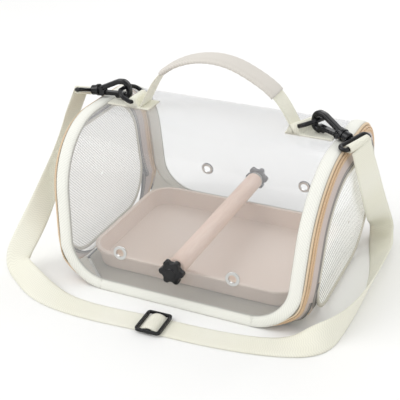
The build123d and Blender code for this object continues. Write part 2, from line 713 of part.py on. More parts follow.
RIGHT_SIDE = [
    ((26, -140.6, 1.0), (-0.03, 1, 0)),
    ((50, -139.2, 1.0), (-0.07, 1, 0)),
    ((74, -136.4, 1.0), (-0.12, 1, 0)),
    ((98, -132, 1.2), (-0.2, 0.98, 0.02)),
    ((116, -127, 2.0), (-0.28, 0.95, 0.1)),
    ((130, -121.5, 4.2), (-0.38, 0.85, 0.32)),
    ((141, -114.5, 7.4), (-0.4, 0.6, 0.66)),
    ((150, -104, 10.4), (-0.25, 0.3, 0.9)),
    ((156, -88, 12.2), (-0.05, 0.08, 1)),
    ((159.5, -66, 12.4), (0.12, 0, 1)),
    ((161.5, -42, 12.2), (0.22, 0, 0.97)),
    ((162, -18, 11.6), (0.32, 0, 0.95)),
    ((161, 6, 10.6), (0.45, 0, 0.89)),
    ((159, 30, 9), (0.6, 0, 0.8)),
    ((155.5, 54, 6.8), (0.78, 0, 0.62)),
    ((151, 76, 4.6), (0.92, 0.08, 0.38)),
    ((147, 93, 3.6), (0.96, 0.16, 0.2)),
    ((144.4, 104, 5.6), (0.96, 0.1, 0.2)),
    ((143, 108.5, 12.6), (0.96, 0.1, 0.2)),
    ((141.8, 104, 20.5), (0.93, 0.2, 0.3)),
    ((144.1, 84, 34.6), (0.84, 0.4, 0.42)),
    ((146.4, 61, 53), (0.72, 0.52, 0.48)),
    ((147.8, 38, 73.8), (0.62, 0.62, 0.5)),
    ((148.2, 20, 93.6), (0.54, 0.68, 0.5)),
    ((148.2, 3.5, 112.8), (0.48, 0.74, 0.46)),
    ((147.4, -9, 129.4), (0.42, 0.82, 0.36)),
    ((146.2, -17, 142.5), (0.4, 0.88, 0.22)),
]


def ribbon(stations):
    """A flat band of one width and thickness through stations of a middle point and a width direction,
    lifted wherever an edge would reach below the floor."""
    points = [Vector(*at) for at, _ in stations]
    with BuildPart() as band:
        for i, (_, wide) in enumerate(stations):
            ahead = points[min(i + 1, len(points) - 1)] - points[max(i - 1, 0)]
            ahead = ahead.normalized()
            wide = Vector(*wide)
            wide = (wide - ahead * wide.dot(ahead)).normalized()
            low = points[i].Z - abs(wide.Z) * WEB_W / 2 - abs(ahead.cross(wide).Z) * WEB_T / 2
            at = points[i] + Vector(0, 0, max(0.0, 0.2 - low))
            with BuildSketch(Plane(at, x_dir=wide, z_dir=ahead)):
                Rectangle(WEB_W, WEB_T)
        loft(ruled=True)
    return band.part


def bar_end(bar, outward):
    """Where the band leaves its loop round a ring's bar: a station, and the loop itself."""
    middle, along_bar = bar.position, Plane(bar).y_dir
    side = Vector(*outward)
    side = (side - along_bar * side.dot(along_bar)).normalized()
    with BuildPart() as loop:
        with BuildSketch(Plane(middle, x_dir=side, z_dir=along_bar)):
            Circle(LOOP_IN + WEB_T)
            Circle(LOOP_IN, mode=Mode.SUBTRACT)
        extrude(amount=WEB_W / 2, both=True)
    at = middle + side * (LOOP_IN + WEB_T / 2)
    return (tuple(at), tuple(along_bar if along_bar.Y > 0 else -along_bar)), loop.part


LOOP_IN = ROD_R - 0.1 + 0.35  # inside radius of the strap's loop round a bar
first, loop_left = bar_end(strap_bars["left"], (-1, 0, -0.1))
last, loop_right = bar_end(strap_bars["right"], (0.9, -0.4, -0.1))
run = Location((*SLIDER_AT, 0), (0, 0, SLIDER_TURN))
over = [(tuple((run * Location((x, 0, z))).position), tuple(Plane(run).y_dir)) for x, z in SLIDER_PASS]
route = [first] + LEFT_SIDE + over + RIGHT_SIDE + [last]
middle = [Vector(*at) for at, _ in route]
print("strap length", round(sum((b - a).length for a, b in zip(middle, middle[1:]))))
with BuildPart() as shoulder_strap:
    add(ribbon(route))
    add(loop_left)
    add(loop_right)
save(shoulder_strap.part, "shoulder_strap")

with BuildPart() as strap_slider:
    with BuildSketch(Plane.XY.offset(SLIDER_FLOOR)):
        RectangleRounded(25, 32, 3.5)
        with Locations((-5.7, 0), (5.7, 0)):
            RectangleRounded(7.6, 27.4, 0.6, mode=Mode.SUBTRACT)
    extrude(amount=3.0)
    fillet(strap_slider.edges().group_by(Axis.Z)[-1], 0.9)
    with Locations((0, 0, SLIDER_FLOOR + 1.7)):
        Box(3.9, 27.4, 3, align=(Align.CENTER, Align.CENTER, Align.MIN), mode=Mode.SUBTRACT)
with BuildPart() as seated:
    with Locations(run):
        add(strap_slider.part)
save(seated.part, "strap_slider")
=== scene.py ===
# %% [markdown]
# # A soft travel carrier, dressed for the camera
# The real object is a small bag: a clear wrap with padded edges, two zipped net ends, a tray, a perch, a handle and a
# shoulder strap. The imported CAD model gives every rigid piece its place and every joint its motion. Here the cloth
# is built again as curved surfaces worked out with numpy, and every piece gets a procedural finish.
# Lengths are written in millimetres and turned into metres when a mesh is made.

# %% Load the fixed frame
from math import atan2, cos, pi, radians, sin, tan

import bmesh
import bpy
import numpy as np
from mathutils import Matrix, Vector


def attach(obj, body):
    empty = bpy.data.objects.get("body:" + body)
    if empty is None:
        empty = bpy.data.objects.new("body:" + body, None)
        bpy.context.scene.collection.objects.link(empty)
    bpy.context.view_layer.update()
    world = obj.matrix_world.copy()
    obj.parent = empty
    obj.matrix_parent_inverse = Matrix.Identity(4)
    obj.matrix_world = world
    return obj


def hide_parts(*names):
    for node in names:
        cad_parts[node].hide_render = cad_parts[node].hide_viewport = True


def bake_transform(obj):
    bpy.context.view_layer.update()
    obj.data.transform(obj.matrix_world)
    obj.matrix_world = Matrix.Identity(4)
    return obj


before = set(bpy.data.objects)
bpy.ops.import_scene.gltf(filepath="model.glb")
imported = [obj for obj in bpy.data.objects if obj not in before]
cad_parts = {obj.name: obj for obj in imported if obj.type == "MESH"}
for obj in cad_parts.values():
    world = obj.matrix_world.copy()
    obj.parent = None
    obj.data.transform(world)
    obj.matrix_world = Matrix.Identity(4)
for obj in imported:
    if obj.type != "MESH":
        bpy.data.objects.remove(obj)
scene = bpy.context.scene
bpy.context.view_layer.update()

# %% [markdown]
# ## Camera
# The view is a fitted pinhole: 24 degrees round to the right of the front, 27 degrees above the horizon. A camera
# could be aimed with a Track To constraint, but here its matrix is written out. A camera looks along its own -Z, so
# the matrix holds the directions right, up and backward, and then the place.

# %% Camera
MM = 0.001
AZIMUTH, ELEVATION, DISTANCE = radians(24.0), radians(27.0), 917.0
FOCAL_PX, FRAME_PX, SENSOR = 908.0, 400, 36.0
TARGET = np.array([-20.6, 0.0, 58.6])


def put_in_scene(name, data):
    """A new object for the data, at the origin, linked to the scene."""
    made = bpy.data.objects.new(name, data)
    scene.collection.objects.link(made)
    return made


back = np.array([sin(AZIMUTH) * cos(ELEVATION), -cos(AZIMUTH) * cos(ELEVATION), sin(ELEVATION)])
right = np.array([cos(AZIMUTH), sin(AZIMUTH), 0.0])
up = np.cross(back, right)
place = TARGET + back * DISTANCE
camera = put_in_scene("camera", bpy.data.cameras.new("camera"))
camera.matrix_world = Matrix([[right[i], up[i], back[i], place[i] * MM] for i in range(3)] + [[0, 0, 0, 1]])
camera.data.sensor_width = SENSOR
camera.data.lens = FOCAL_PX / FRAME_PX * SENSOR
camera.data.clip_start, camera.data.clip_end = 0.05, 20.0
scene.camera = camera
scene.view_settings.view_transform = "Standard"
print("camera at", place.round(1), "lens", round(camera.data.lens, 2))

# %% [markdown]
# ## From a grid of points to a mesh
# Nearly every cloth piece here is a grid of points whose last column joins the first, like a hose. Blender could
# model each by hand, but a grid worked out in numpy follows the bag's own curves exactly, and can be changed later by
# one number. The UV map gets real lengths, so that a weave keeps its scale on every piece.

# %% Grid to mesh
def grid_quads(index):
    """The four corners of each cell of a grid of point numbers, in order round the cell."""
    return np.stack([index[:-1, :-1], index[:-1, 1:], index[1:, 1:], index[1:, :-1]], axis=-1).reshape(-1, 4)


def face_outwards(made, loose=()):
    """Turns every face of a closed piece outwards and drops the loose points."""
    work = bmesh.new()
    work.from_mesh(made.data)
    if len(loose):
        work.verts.ensure_lookup_table()
        bmesh.ops.delete(work, geom=[work.verts[int(i)] for i in loose], context="VERTS")
    bmesh.ops.recalc_face_normals(work, faces=work.faces)
    work.to_mesh(made.data)
    work.free()


def surface(name, points, body, uv, capped=False):
    """A grid of points (rows, columns, 3) in millimetres as quads, its last column joined to its first; capped
    also fills the first and last rows. The UV grid, in millimetres too, has the same rows and columns."""
    rows, cols = points.shape[:2]
    index = np.arange(rows * cols).reshape(rows, cols)
    faces = grid_quads(np.concatenate([index, index[:, :1]], axis=1)).tolist()
    if capped:
        faces += [index[0][::-1].tolist(), index[-1].tolist()]
    mesh = bpy.data.meshes.new(name)
    mesh.from_pydata((points.reshape(-1, 3) * MM).tolist(), [], faces)
    flat = np.concatenate([uv, uv[:, :1]], axis=1).reshape(-1, 2) * MM
    corners = grid_quads(np.arange(rows * (cols + 1)).reshape(rows, cols + 1)).ravel()
    values = np.zeros((len(mesh.loops), 2), np.float32)
    values[:corners.size] = flat[corners]
    mesh.uv_layers.new(name="UVMap").data.foreach_set("uv", values.ravel())
    mesh.polygons.foreach_set("use_smooth", np.ones(len(mesh.polygons), bool))
    mesh.update()
    made = put_in_scene(name, mesh)
    face_outwards(made)
    if body:
        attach(made, body)
    return made


print("a grid of 3 x 3 points has", len(grid_quads(np.arange(9).reshape(3, 3))), "quads")

# %% [markdown]
# ## From a path and a profile to a strip
# Webbing, zip tape and zip coils are all strips: one small cross-section carried along a path. Blender's curve bevel
# does this too, but it can't turn the section to follow a surface, so the two directions of the section are given
# for each point of the path.

# %% Path and profile to strip
EDGE_ROUND, EDGE_POWER = 0.35, 8  # how much of its thickness a flat strip loses at its edges, and how suddenly


def unit(v):
    """The vector divided by its length."""
    return v / np.maximum(np.linalg.norm(v, axis=-1, keepdims=True), 1e-9)


def lengths(path):
    """Distance run along a row of points."""
    return np.concatenate([[0], np.cumsum(np.linalg.norm(np.diff(path, axis=0), axis=1))])


def strip_uv(run, across):
    """A UV grid in millimetres: the first number is the way along, the second the way across."""
    return np.stack(np.meshgrid(run, across, indexing="ij"), axis=-1)


def strip(name, path, across, normal, profile, body):
    """A closed cross-section along a path: point = path + across * a + normal * h for each (a, h)."""
    a, h = profile[:, 0], profile[:, 1]
    points = path[:, None] + across[:, None] * a[:, None] + normal[:, None] * h[:, None]
    return surface(name, points, body, strip_uv(lengths(path), a), capped=True)


def flat_profile(low, high, thick, crown=0.0, n=13):
    """Flat cross-section from low to high. With t from -1 to 1 across, the top is
    thick (1 - 0.35 t^8) + crown (1 - t^2) and the underside 0.35 thick t^8."""
    t = np.linspace(-1, 1, n)
    a = (low + high) / 2 + t * (high - low) / 2
    top = thick * (1 - EDGE_ROUND * t**EDGE_POWER) + crown * (1 - t**2)
    under = EDGE_ROUND * thick * t**EDGE_POWER
    return np.concatenate([np.stack([a, top], 1), np.stack([a, under], 1)[::-1]])


print("points of a flat profile", len(flat_profile(0, 1, 0.1)))

# %% [markdown]
# ## Short names for nodes
# Cloth, net, webbing, plastic, wood and metal are all node networks. Built by hand in the Shader Editor they would
# be a wide web of Math nodes. Written as small functions that take and give back sockets, they read as formulas.

# %% Node helpers
def link_or_set(tree, socket, value):
    """Links a socket to a socket, or writes a plain value on it."""
    if isinstance(value, bpy.types.NodeSocket):
        tree.links.new(value, socket)
    else:
        socket.default_value = value


def calc(tree, kind, *values, clamp=False):
    """One Math node, its inputs numbers or sockets, and its output."""
    node = tree.nodes.new("ShaderNodeMath")
    node.operation, node.use_clamp = kind, clamp
    for socket, value in zip(node.inputs, values):
        link_or_set(tree, socket, value)
    return node.outputs[0]


def times(tree, a, b):
    """a * b."""
    return calc(tree, "MULTIPLY", a, b)


def plus(tree, a, b):
    """a + b."""
    return calc(tree, "ADD", a, b)


def minus(tree, a, b):
    """a - b."""
    return calc(tree, "SUBTRACT", a, b)


def sine(tree, a):
    """sin(a)."""
    return calc(tree, "SINE", a)


def line_of(tree, value, slope, start):
    """start + slope * value."""
    return plus(tree, times(tree, value, slope), start)


def line_mask(tree, value, at, half):
    """1 - |value - at| / half, held between 0 and 1: a soft line."""
    far = calc(tree, "ABSOLUTE", minus(tree, value, at))
    return calc(tree, "SUBTRACT", 1.0, calc(tree, "DIVIDE", far, half), clamp=True)


def noise(tree, vector, scale, detail=2.0, rough=0.5):
    """Cloudy noise from 0 to 1."""
    node = tree.nodes.new("ShaderNodeTexNoise")
    tree.links.new(vector, node.inputs["Vector"])
    node.inputs["Scale"].default_value = scale
    node.inputs["Detail"].default_value = detail
    node.inputs["Roughness"].default_value = rough
    return node.outputs["Fac"]


print("node helpers", [f.__name__ for f in (calc, times, plus, minus, sine, line_of, line_mask, noise)])

# %% [markdown]
# ## Colour and relief
# A colour is written as it should look on screen and turned to the linear scale that the renderer works in. Relief
# too small to model, such as threads, is a Bump node: it bends the shading and leaves the shape as it is.

# %% Colour and relief
def rgba(colour):
    """Screen colour, 0 to 255, to linear: c / 12.92 when dark, else ((c + 0.055) / 1.055)^2.4."""
    c = np.array(colour) / 255
    linear = np.where(c <= 0.04045, c / 12.92, ((c + 0.055) / 1.055) ** 2.4)
    return (*[float(x) for x in linear], 1.0)


def mix_colour(tree, factor, a, b):
    """a * (1 - factor) + b * factor, for colours."""
    node = tree.nodes.new("ShaderNodeMix")
    node.data_type = "RGBA"
    for number, value in ((0, factor), (6, a), (7, b)):  # the Mix node's colour sockets are its seventh and eighth
        link_or_set(tree, node.inputs[number], value)
    return node.outputs[2]


def tinted(tree, colour, tone):
    """colour * tone."""
    node = tree.nodes.new("ShaderNodeVectorMath")
    node.operation = "SCALE"
    link_or_set(tree, node.inputs[0], colour if isinstance(colour, bpy.types.NodeSocket) else colour[:3])
    tree.links.new(tone, node.inputs["Scale"])
    return node.outputs[0]


def bump(tree, height, strength, distance=0.0005):
    """A normal bent by a height; distance is the height's size in metres."""
    node = tree.nodes.new("ShaderNodeBump")
    node.inputs["Strength"].default_value = strength
    node.inputs["Distance"].default_value = distance
    tree.links.new(height, node.inputs["Height"])
    return node.outputs["Normal"]


print("a mid grey of 128 is", round(rgba((128, 128, 128))[0], 3), "in linear light")

# %% [markdown]
# ## Two shared node groups
# Every cloth has threads, and every piece changes tone a little over its surface. Each of the two effects is a node
# group with named inputs, built once and placed in each material with its own values.

# %% Weave and tone groups
SLOW_SCALE, FINE_SCALE = 28, 900  # sizes of the two noises, in patches per metre


def new_group(name, output, **inputs):
    """An empty node group with one output and named inputs, and its two end nodes."""
    tree = bpy.data.node_groups.new(name, "ShaderNodeTree")
    for label, kind in inputs.items():
        tree.interface.new_socket(name=label.replace("_", " "), in_out="INPUT", socket_type=f"NodeSocket{kind}")
    tree.interface.new_socket(name=output, in_out="OUTPUT", socket_type="NodeSocketFloat")
    return tree, tree.nodes.new("NodeGroupInput"), tree.nodes.new("NodeGroupOutput")


def weave_group():
    """Plain weave with a finer twill. With f = pi * threads per metre,
    height = |sin(f along) * sin(f across)| + twill * sin(f along + f across)."""
    tree, start, end = new_group("thread weave", "Height", Along="Float", Across="Float",
                                 Threads_per_metre="Float", Twill="Float")
    f = times(tree, start.outputs["Threads per metre"], pi)
    u = times(tree, start.outputs["Along"], f)
    v = times(tree, start.outputs["Across"], f)
    plain = calc(tree, "ABSOLUTE", times(tree, sine(tree, u), sine(tree, v)))
    slant = times(tree, sine(tree, plus(tree, u, v)), start.outputs["Twill"])
    tree.links.new(plus(tree, plain, slant), end.inputs["Height"])
    return tree


def tone_group():
    """tone = 1 + amount * (0.7 slow noise + 0.3 fine noise - 0.5)."""
    tree, start, end = new_group("cloth tone", "Tone", Vector="Vector", Amount="Float")
    slow = noise(tree, start.outputs["Vector"], SLOW_SCALE, 3)
    fine = noise(tree, start.outputs["Vector"], FINE_SCALE, 2)
    both = plus(tree, times(tree, slow, 0.7), times(tree, fine, 0.3))
    swing = times(tree, minus(tree, both, 0.5), start.outputs["Amount"])
    tree.links.new(plus(tree, swing, 1.0), end.inputs["Tone"])
    return tree


WEAVE, TONE = weave_group(), tone_group()
print("node groups", [g.name for g in bpy.data.node_groups])

# %% [markdown]
# ## Starting a material
# Every finish begins with a Principled shader and texture coordinates. Numbers that are the same all over could come
# from Value nodes, but they are easier to find on the shader's own sockets. Only what changes over the surface is
# linked: the tone, and threads that are lower between one another and darker there with painted shade.

# %% Material helpers
THREAD_RELIEF = 0.0003  # height of a thread, in metres


def start_material(name):
    """A new material with its tree, its Principled shader and its texture coordinates."""
    material = bpy.data.materials.new(name)
    material.use_nodes = True
    tree = material.node_tree
    return material, tree, tree.nodes["Principled BSDF"], tree.nodes.new("ShaderNodeTexCoord")


def settle(shader, **values):
    """Writes plain numbers and colours on the shader's own sockets."""
    for key, value in values.items():
        shader.inputs[key.replace("_", " ")].default_value = value


def split(tree, vector):
    """The three numbers of a vector."""
    node = tree.nodes.new("ShaderNodeSeparateXYZ")
    tree.links.new(vector, node.inputs[0])
    return node.outputs


def use_group(tree, group, **values):
    """Places a node group with its own input values."""
    node = tree.nodes.new("ShaderNodeGroup")
    node.node_tree = group
    for key, value in values.items():
        link_or_set(tree, node.inputs[key.replace("_", " ")], value)
    return node.outputs[0]


def show_threads(tree, shader, coords, colour, height, tone, contrast, level, relief):
    """Base colour = colour * tone * (level + contrast * height), and the height is also the relief."""
    slow = use_group(tree, TONE, Vector=coords.outputs["Object"], Amount=tone)
    # Painted shade: the colour darkens between the threads, where the height is low.
    shadow = line_of(tree, height, contrast, level)
    tree.links.new(tinted(tree, colour, times(tree, slow, shadow)), shader.inputs["Base Color"])
    tree.links.new(bump(tree, height, relief, THREAD_RELIEF), shader.inputs["Normal"])


print("threads stand", THREAD_RELIEF / MM, "mm high")

# %% [markdown]
# ## Woven cloth
# The corner patches, the base board, the binding, the welts, the zip's coil and the handle's sleeve are all woven.
# A picture of cloth could be wrapped on, but a woven formula stays sharp at any distance. Strips read their own UV
# map, and the softened CAD pieces, which have none, read Object coordinates.

# %% Cloth finishes
def cloth(name, colour, threads=900.0, twill=0.25, shade=0.12, rough=0.85, relief=0.35, uv=True):
    """Woven cloth, darker between its threads. Without a UV map the threads run along x + y and z + 0.35 y."""
    material, tree, shader, coords = start_material(name)
    x, y, z = split(tree, coords.outputs["UV" if uv else "Object"])
    along, across = (x, y) if uv else (plus(tree, x, y), plus(tree, z, times(tree, y, 0.35)))
    height = use_group(tree, WEAVE, Along=along, Across=across, Threads_per_metre=threads, Twill=twill)
    show_threads(tree, shader, coords, rgba(colour), height, shade, shade, 1 - shade * 0.55, relief)
    settle(shader, Roughness=rough, Sheen_Weight=0.15, Specular_IOR_Level=0.25)
    return material


FINISH = {
    "corner": cloth("corner cloth", (226, 222, 210), uv=False),
    "board": cloth("base board cloth", (182, 176, 164), threads=600.0, uv=False, shade=0.16),
    "binding": cloth("binding", (214, 210, 198), threads=1000.0, twill=0.6),
    "welt": cloth("end welt", (104, 102, 98), threads=1000.0, uv=False),
    "coil": cloth("zip coil", (224, 194, 158), threads=800.0, twill=0.1, shade=0.3, relief=0.8, rough=0.5),
    "sleeve": cloth("sleeve cloth", (217, 212, 204), threads=650.0, twill=0.4, shade=0.14),
}
print("cloths", list(FINISH))

# %% [markdown]
# ## Stitched band
# The padded band has a row of stitches near each edge, in a groove, and a thin painted shadow where it meets its
# neighbour.
# Real stitches could be small meshes, but at this size a dashed line in the material is enough, as long as the
# groove itself is in the shape.

# %% Stitched band finish
BAND_HALF = 6.5  # half the padded band's width
STITCH_AT = 0.74  # where the stitches run, as a share of that half
STITCH_STEP, STITCH_HALF, RIM_HALF = 0.0032, 0.0005, 0.0009  # in metres
DASH_FROM = -0.35  # a stitch shows where the wave along its row is above this
THREAD_SHOWS, SHADOW_SHOWS = 0.35, 0.6  # how strongly thread and edge shadow cover the cloth


def stitched_band(name, colour):
    """Cloth with dashes: a thread shows where | |across| - row | is small and sin(2 pi along / step) is above
    -0.35."""
    material = cloth(name, colour, threads=700.0, twill=0.5, shade=0.10)
    tree, shader = material.node_tree, material.node_tree.nodes["Principled BSDF"]
    coords = next(n for n in tree.nodes if n.type == "TEX_COORD")
    along, across, _ = split(tree, coords.outputs["UV"])
    edge = calc(tree, "ABSOLUTE", across)
    row = line_mask(tree, edge, BAND_HALF * STITCH_AT * MM, STITCH_HALF)
    dash = calc(tree, "GREATER_THAN", sine(tree, times(tree, along, 2 * pi / STITCH_STEP)), DASH_FROM)
    plain = shader.inputs["Base Color"].links[0].from_socket
    sewn = mix_colour(tree, times(tree, times(tree, row, dash), THREAD_SHOWS), plain, rgba((214, 210, 196)))
    # Painted shadow: the colour darkens to grey along both edges of the band.
    rim = line_mask(tree, edge, BAND_HALF * MM, RIM_HALF)
    painted_shade_colour = mix_colour(tree, times(tree, rim, SHADOW_SHOWS), sewn, rgba((138, 134, 124)))
    tree.links.new(painted_shade_colour, shader.inputs["Base Color"])
    return material


FINISH["band"] = stitched_band("padded band cloth", (240, 240, 232))
print("stitches every", STITCH_STEP / MM, "mm")

# %% [markdown]
# ## Webbing
# The straps are heavy woven webbing: slanting ribs that change direction in stripes along it, with fine cords
# between. The finish is two sine waves, so its relief and its painted shading come from one height. A darker copy
# of its colour is painted in patches by slow noise, as painted shade.

# %% Webbing finish
RIB, CORD = 0.0021, 0.0009  # rib spacing along and cord spacing across, in metres
STRIPES = 125.0  # changes of slant per metre across
RIB_FOLD = 9.0  # how far the ribs lean over in a stripe, as an angle in their wave


def webbing(name, colour, painted_shade_colour):
    """height = ((sin(2 pi along / rib + 9 fold) + 1) / 2 + |sin(pi across / cord)|) / 2, where fold is how far a
    place is from the middle of its stripe."""
    material, tree, shader, coords = start_material(name)
    along, across, _ = split(tree, coords.outputs["UV"])
    stripe = calc(tree, "FRACT", times(tree, across, STRIPES))
    fold = calc(tree, "ABSOLUTE", minus(tree, stripe, 0.5))
    slant = plus(tree, times(tree, along, 2 * pi / RIB), times(tree, fold, RIB_FOLD))
    ribs = line_of(tree, sine(tree, slant), 0.5, 0.5)
    cords = calc(tree, "ABSOLUTE", sine(tree, times(tree, across, pi / CORD)))
    height = times(tree, plus(tree, ribs, cords), 0.5)
    slow = noise(tree, coords.outputs["Object"], 14, 2)
    # Painted shade: a darker copy of the webbing's colour is mixed in by slow noise, up to 0.6 of it.
    body = mix_colour(tree, times(tree, slow, 0.6), rgba(colour), rgba(painted_shade_colour))
    show_threads(tree, shader, coords, body, height, 0.10, 0.16, 0.90, 0.5)
    settle(shader, Roughness=0.7, Sheen_Weight=0.2, Specular_IOR_Level=0.3)
    return material


# The second colour is the webbing's painted shade.
FINISH["webbing"] = webbing("webbing", (243, 242, 231), (224, 221, 194))
print("webbing ribs every", RIB / MM, "mm")

# %% [markdown]
# ## Zip tape
# Seen from the teeth outwards the real tape is tan, then mauve, then has a dark sewn edge. All of it could be
# separate strips of cloth, but the tape is one piece, so one colour ramp across it gives the bands. Each tape's UV
# starts at its own place on that ramp.

# %% Zip tape finish
TAPE_WIDE = 0.020  # width that the whole ramp covers, in metres
TAPE_BANDS = (
    (0.10, (228, 204, 172)), (0.14, (132, 112, 94)), (0.18, (226, 200, 166)), (0.42, (222, 196, 162)),
    (0.46, (206, 184, 168)), (0.50, (208, 194, 188)), (0.76, (202, 190, 184)), (0.80, (118, 114, 112)),
    (0.84, (168, 164, 160)), (0.90, (150, 146, 142)), (0.94, (112, 110, 108)),
)


def zip_cloth(name):
    """Woven tape whose colour is a ramp of across / width."""
    material, tree, shader, coords = start_material(name)
    along, across, _ = split(tree, coords.outputs["UV"])
    ramp = tree.nodes.new("ShaderNodeValToRGB")
    tree.links.new(calc(tree, "DIVIDE", across, TAPE_WIDE), ramp.inputs["Fac"])
    stops = ramp.color_ramp.elements
    stops[0].position, stops[0].color = 0.0, rgba((232, 212, 184))
    stops[1].position, stops[1].color = 1.0, rgba((126, 124, 122))
    for at, tint in TAPE_BANDS:
        stops.new(at).color = rgba(tint)
    height = use_group(tree, WEAVE, Along=along, Across=across, Threads_per_metre=1100.0, Twill=0.3)
    show_threads(tree, shader, coords, ramp.outputs["Color"], height, 0.12, 0.14, 0.92, 0.4)
    settle(shader, Roughness=0.75, Specular_IOR_Level=0.3)
    return material


FINISH["zip"] = zip_cloth("zip tape")
print("colour bands across the tape", len(TAPE_BANDS) + 2)

# %% [markdown]
# ## Net
# The doors are fine net, light enough to look through. Thousands of holes could be cut in the mesh, but the export
# would be huge, so the holes are in the Alpha. Net also glows a little with the light that falls on it from behind,
# which is given as a weak emission.

# %% Net finish
NET_STEP = 0.0034  # size of a diamond, in metres
HOLE_FROM, HOLE_CLEAR = 0.42, 0.45  # height of the cell where its hole begins, and how clear the hole is


def netting(name, colour):
    """cell = |sin(k (u + v)) * sin(k (u - v))| with k = pi / step: thread where it is small, hole above 0.42."""
    material, tree, shader, coords = start_material(name)
    u, v, _ = split(tree, coords.outputs["UV"])
    k = pi / NET_STEP
    a = sine(tree, times(tree, plus(tree, u, v), k))
    b = sine(tree, times(tree, minus(tree, u, v), k))
    cell = calc(tree, "ABSOLUTE", times(tree, a, b))
    hole = calc(tree, "GREATER_THAN", cell, HOLE_FROM)
    tone = use_group(tree, TONE, Vector=coords.outputs["Object"], Amount=0.05)
    # Painted shade: the colour darkens from the threads into the holes, by 1.04 - 0.34 cell.
    shadow = minus(tree, 1.04, times(tree, cell, 0.34))
    tree.links.new(tinted(tree, rgba(colour), times(tree, tone, shadow)), shader.inputs["Base Color"])
    tree.links.new(minus(tree, 1.0, times(tree, hole, HOLE_CLEAR)), shader.inputs["Alpha"])
    tree.links.new(bump(tree, minus(tree, 1.0, cell), 0.5, 0.0004), shader.inputs["Normal"])
    # The weak emission is a painted glow for the light that falls on the net from behind.
    settle(shader, Roughness=0.6, Emission_Color=rgba((250, 250, 246)), Emission_Strength=0.16)
    return material


FINISH["mesh"] = netting("door net", (238, 239, 236))
print("net diamonds of", NET_STEP / MM, "mm")

# %% [markdown]
# ## Clear plastic
# The wrap is soft clear plastic. Real transmission would bend the view of everything inside twice, at a high cost,
# and a sheet this thin hardly bends light. So it is a nearly see-through Alpha, milkier at a slant, with a gloss on
# top and slow waves in its surface.

# %% Clear sheet finish
HAZE, SLANT_HAZE, SMEAR_HAZE = 0.06, 0.30, 0.06


def clear_sheet(name):
    """alpha = 0.06 + 0.30 * slant + 0.06 * smear, where slant grows as the sheet turns edge-on."""
    material, tree, shader, coords = start_material(name)
    facing = tree.nodes.new("ShaderNodeLayerWeight")
    facing.inputs["Blend"].default_value = 0.25
    smear = noise(tree, coords.outputs["Object"], 9, 2)
    haze = plus(tree, times(tree, facing.outputs["Facing"], SLANT_HAZE), times(tree, smear, SMEAR_HAZE))
    tree.links.new(calc(tree, "ADD", haze, HAZE, clamp=True), shader.inputs["Alpha"])
    wave = noise(tree, coords.outputs["Object"], 22, 2, 0.4)
    tree.links.new(bump(tree, wave, 0.08, 0.004), shader.inputs["Normal"])
    settle(shader, Base_Color=rgba((228, 231, 235)), Roughness=0.08, Specular_IOR_Level=0.8)
    return material


FINISH["window"] = clear_sheet("clear window")
print("the clear sheet lets through up to", 1 - HAZE, "of the light")

# %% [markdown]
# ## Hard finishes
# The tray, the knobs and the hooks are moulded plastic, the eyelets, sliders, studs and inserts are metal, and the
# perch is a turned dowel. A single flat colour would look like a toy, so each has a faint change of tone, a fine
# texture, and a roughness that isn't the same all over.

# %% Plastic and metal finishes
def moulded(name, colour, rough, grain=0.1, coat=0.0, shine=0.5):
    """Plastic: colour * tone, roughness = rough - 0.06 + 0.12 * fine noise, and an optional clear gloss."""
    material, tree, shader, coords = start_material(name)
    tone = use_group(tree, TONE, Vector=coords.outputs["Object"], Amount=0.05)
    tree.links.new(tinted(tree, rgba(colour), tone), shader.inputs["Base Color"])
    fine = noise(tree, coords.outputs["Object"], 700.0, 2)
    tree.links.new(bump(tree, fine, grain, 0.0002), shader.inputs["Normal"])
    tree.links.new(line_of(tree, fine, 0.12, rough - 0.06), shader.inputs["Roughness"])
    settle(shader, Coat_Weight=coat, Coat_Roughness=0.08, Specular_IOR_Level=shine)
    return material


def metal(name, colour, rough):
    """Metal: colour * tone, roughness = rough - 0.06 + 0.18 * scratches."""
    material, tree, shader, coords = start_material(name)
    scratches = noise(tree, coords.outputs["Object"], 600, 3, 0.7)
    tone = use_group(tree, TONE, Vector=coords.outputs["Object"], Amount=0.10)
    tree.links.new(tinted(tree, rgba(colour), tone), shader.inputs["Base Color"])
    tree.links.new(line_of(tree, scratches, 0.18, rough - 0.06), shader.inputs["Roughness"])
    tree.links.new(bump(tree, scratches, 0.08, 0.0002), shader.inputs["Normal"])
    settle(shader, Metallic=1.0)
    return material


FINISH |= {
    "tray": moulded("tray plastic", (224, 206, 192), 0.42, grain=0.12, coat=0.1),
    "knob": moulded("knob plastic", (13, 13, 16), 0.2, grain=0.04, coat=0.15, shine=0.3),
    "hardware": moulded("hardware plastic", (14, 15, 18), 0.24, grain=0.08, coat=0.15, shine=0.3),
    "washer": moulded("washer plastic", (214, 214, 210), 0.4),
    "slider": metal("zip slider metal", (190, 186, 178), 0.3),
    "eyelet": metal("eyelet metal", (206, 206, 204), 0.2),
    "insert": metal("insert brass", (196, 164, 96), 0.3),
    "stud": metal("stud steel", (186, 186, 188), 0.3),
}
print("finishes so far", len(FINISH))

# %% [markdown]
# ## Wood
# The perch is a round dowel of pale wood with fine pores. A picture of wood could be wrapped round it, but noise that
# is stretched along the dowel runs its whole length and has no seam. Stretching is one number in a Mapping node.

# %% Wood finish
GRAIN_STRETCH = 0.06  # the dowel's pattern is this much slower along its length


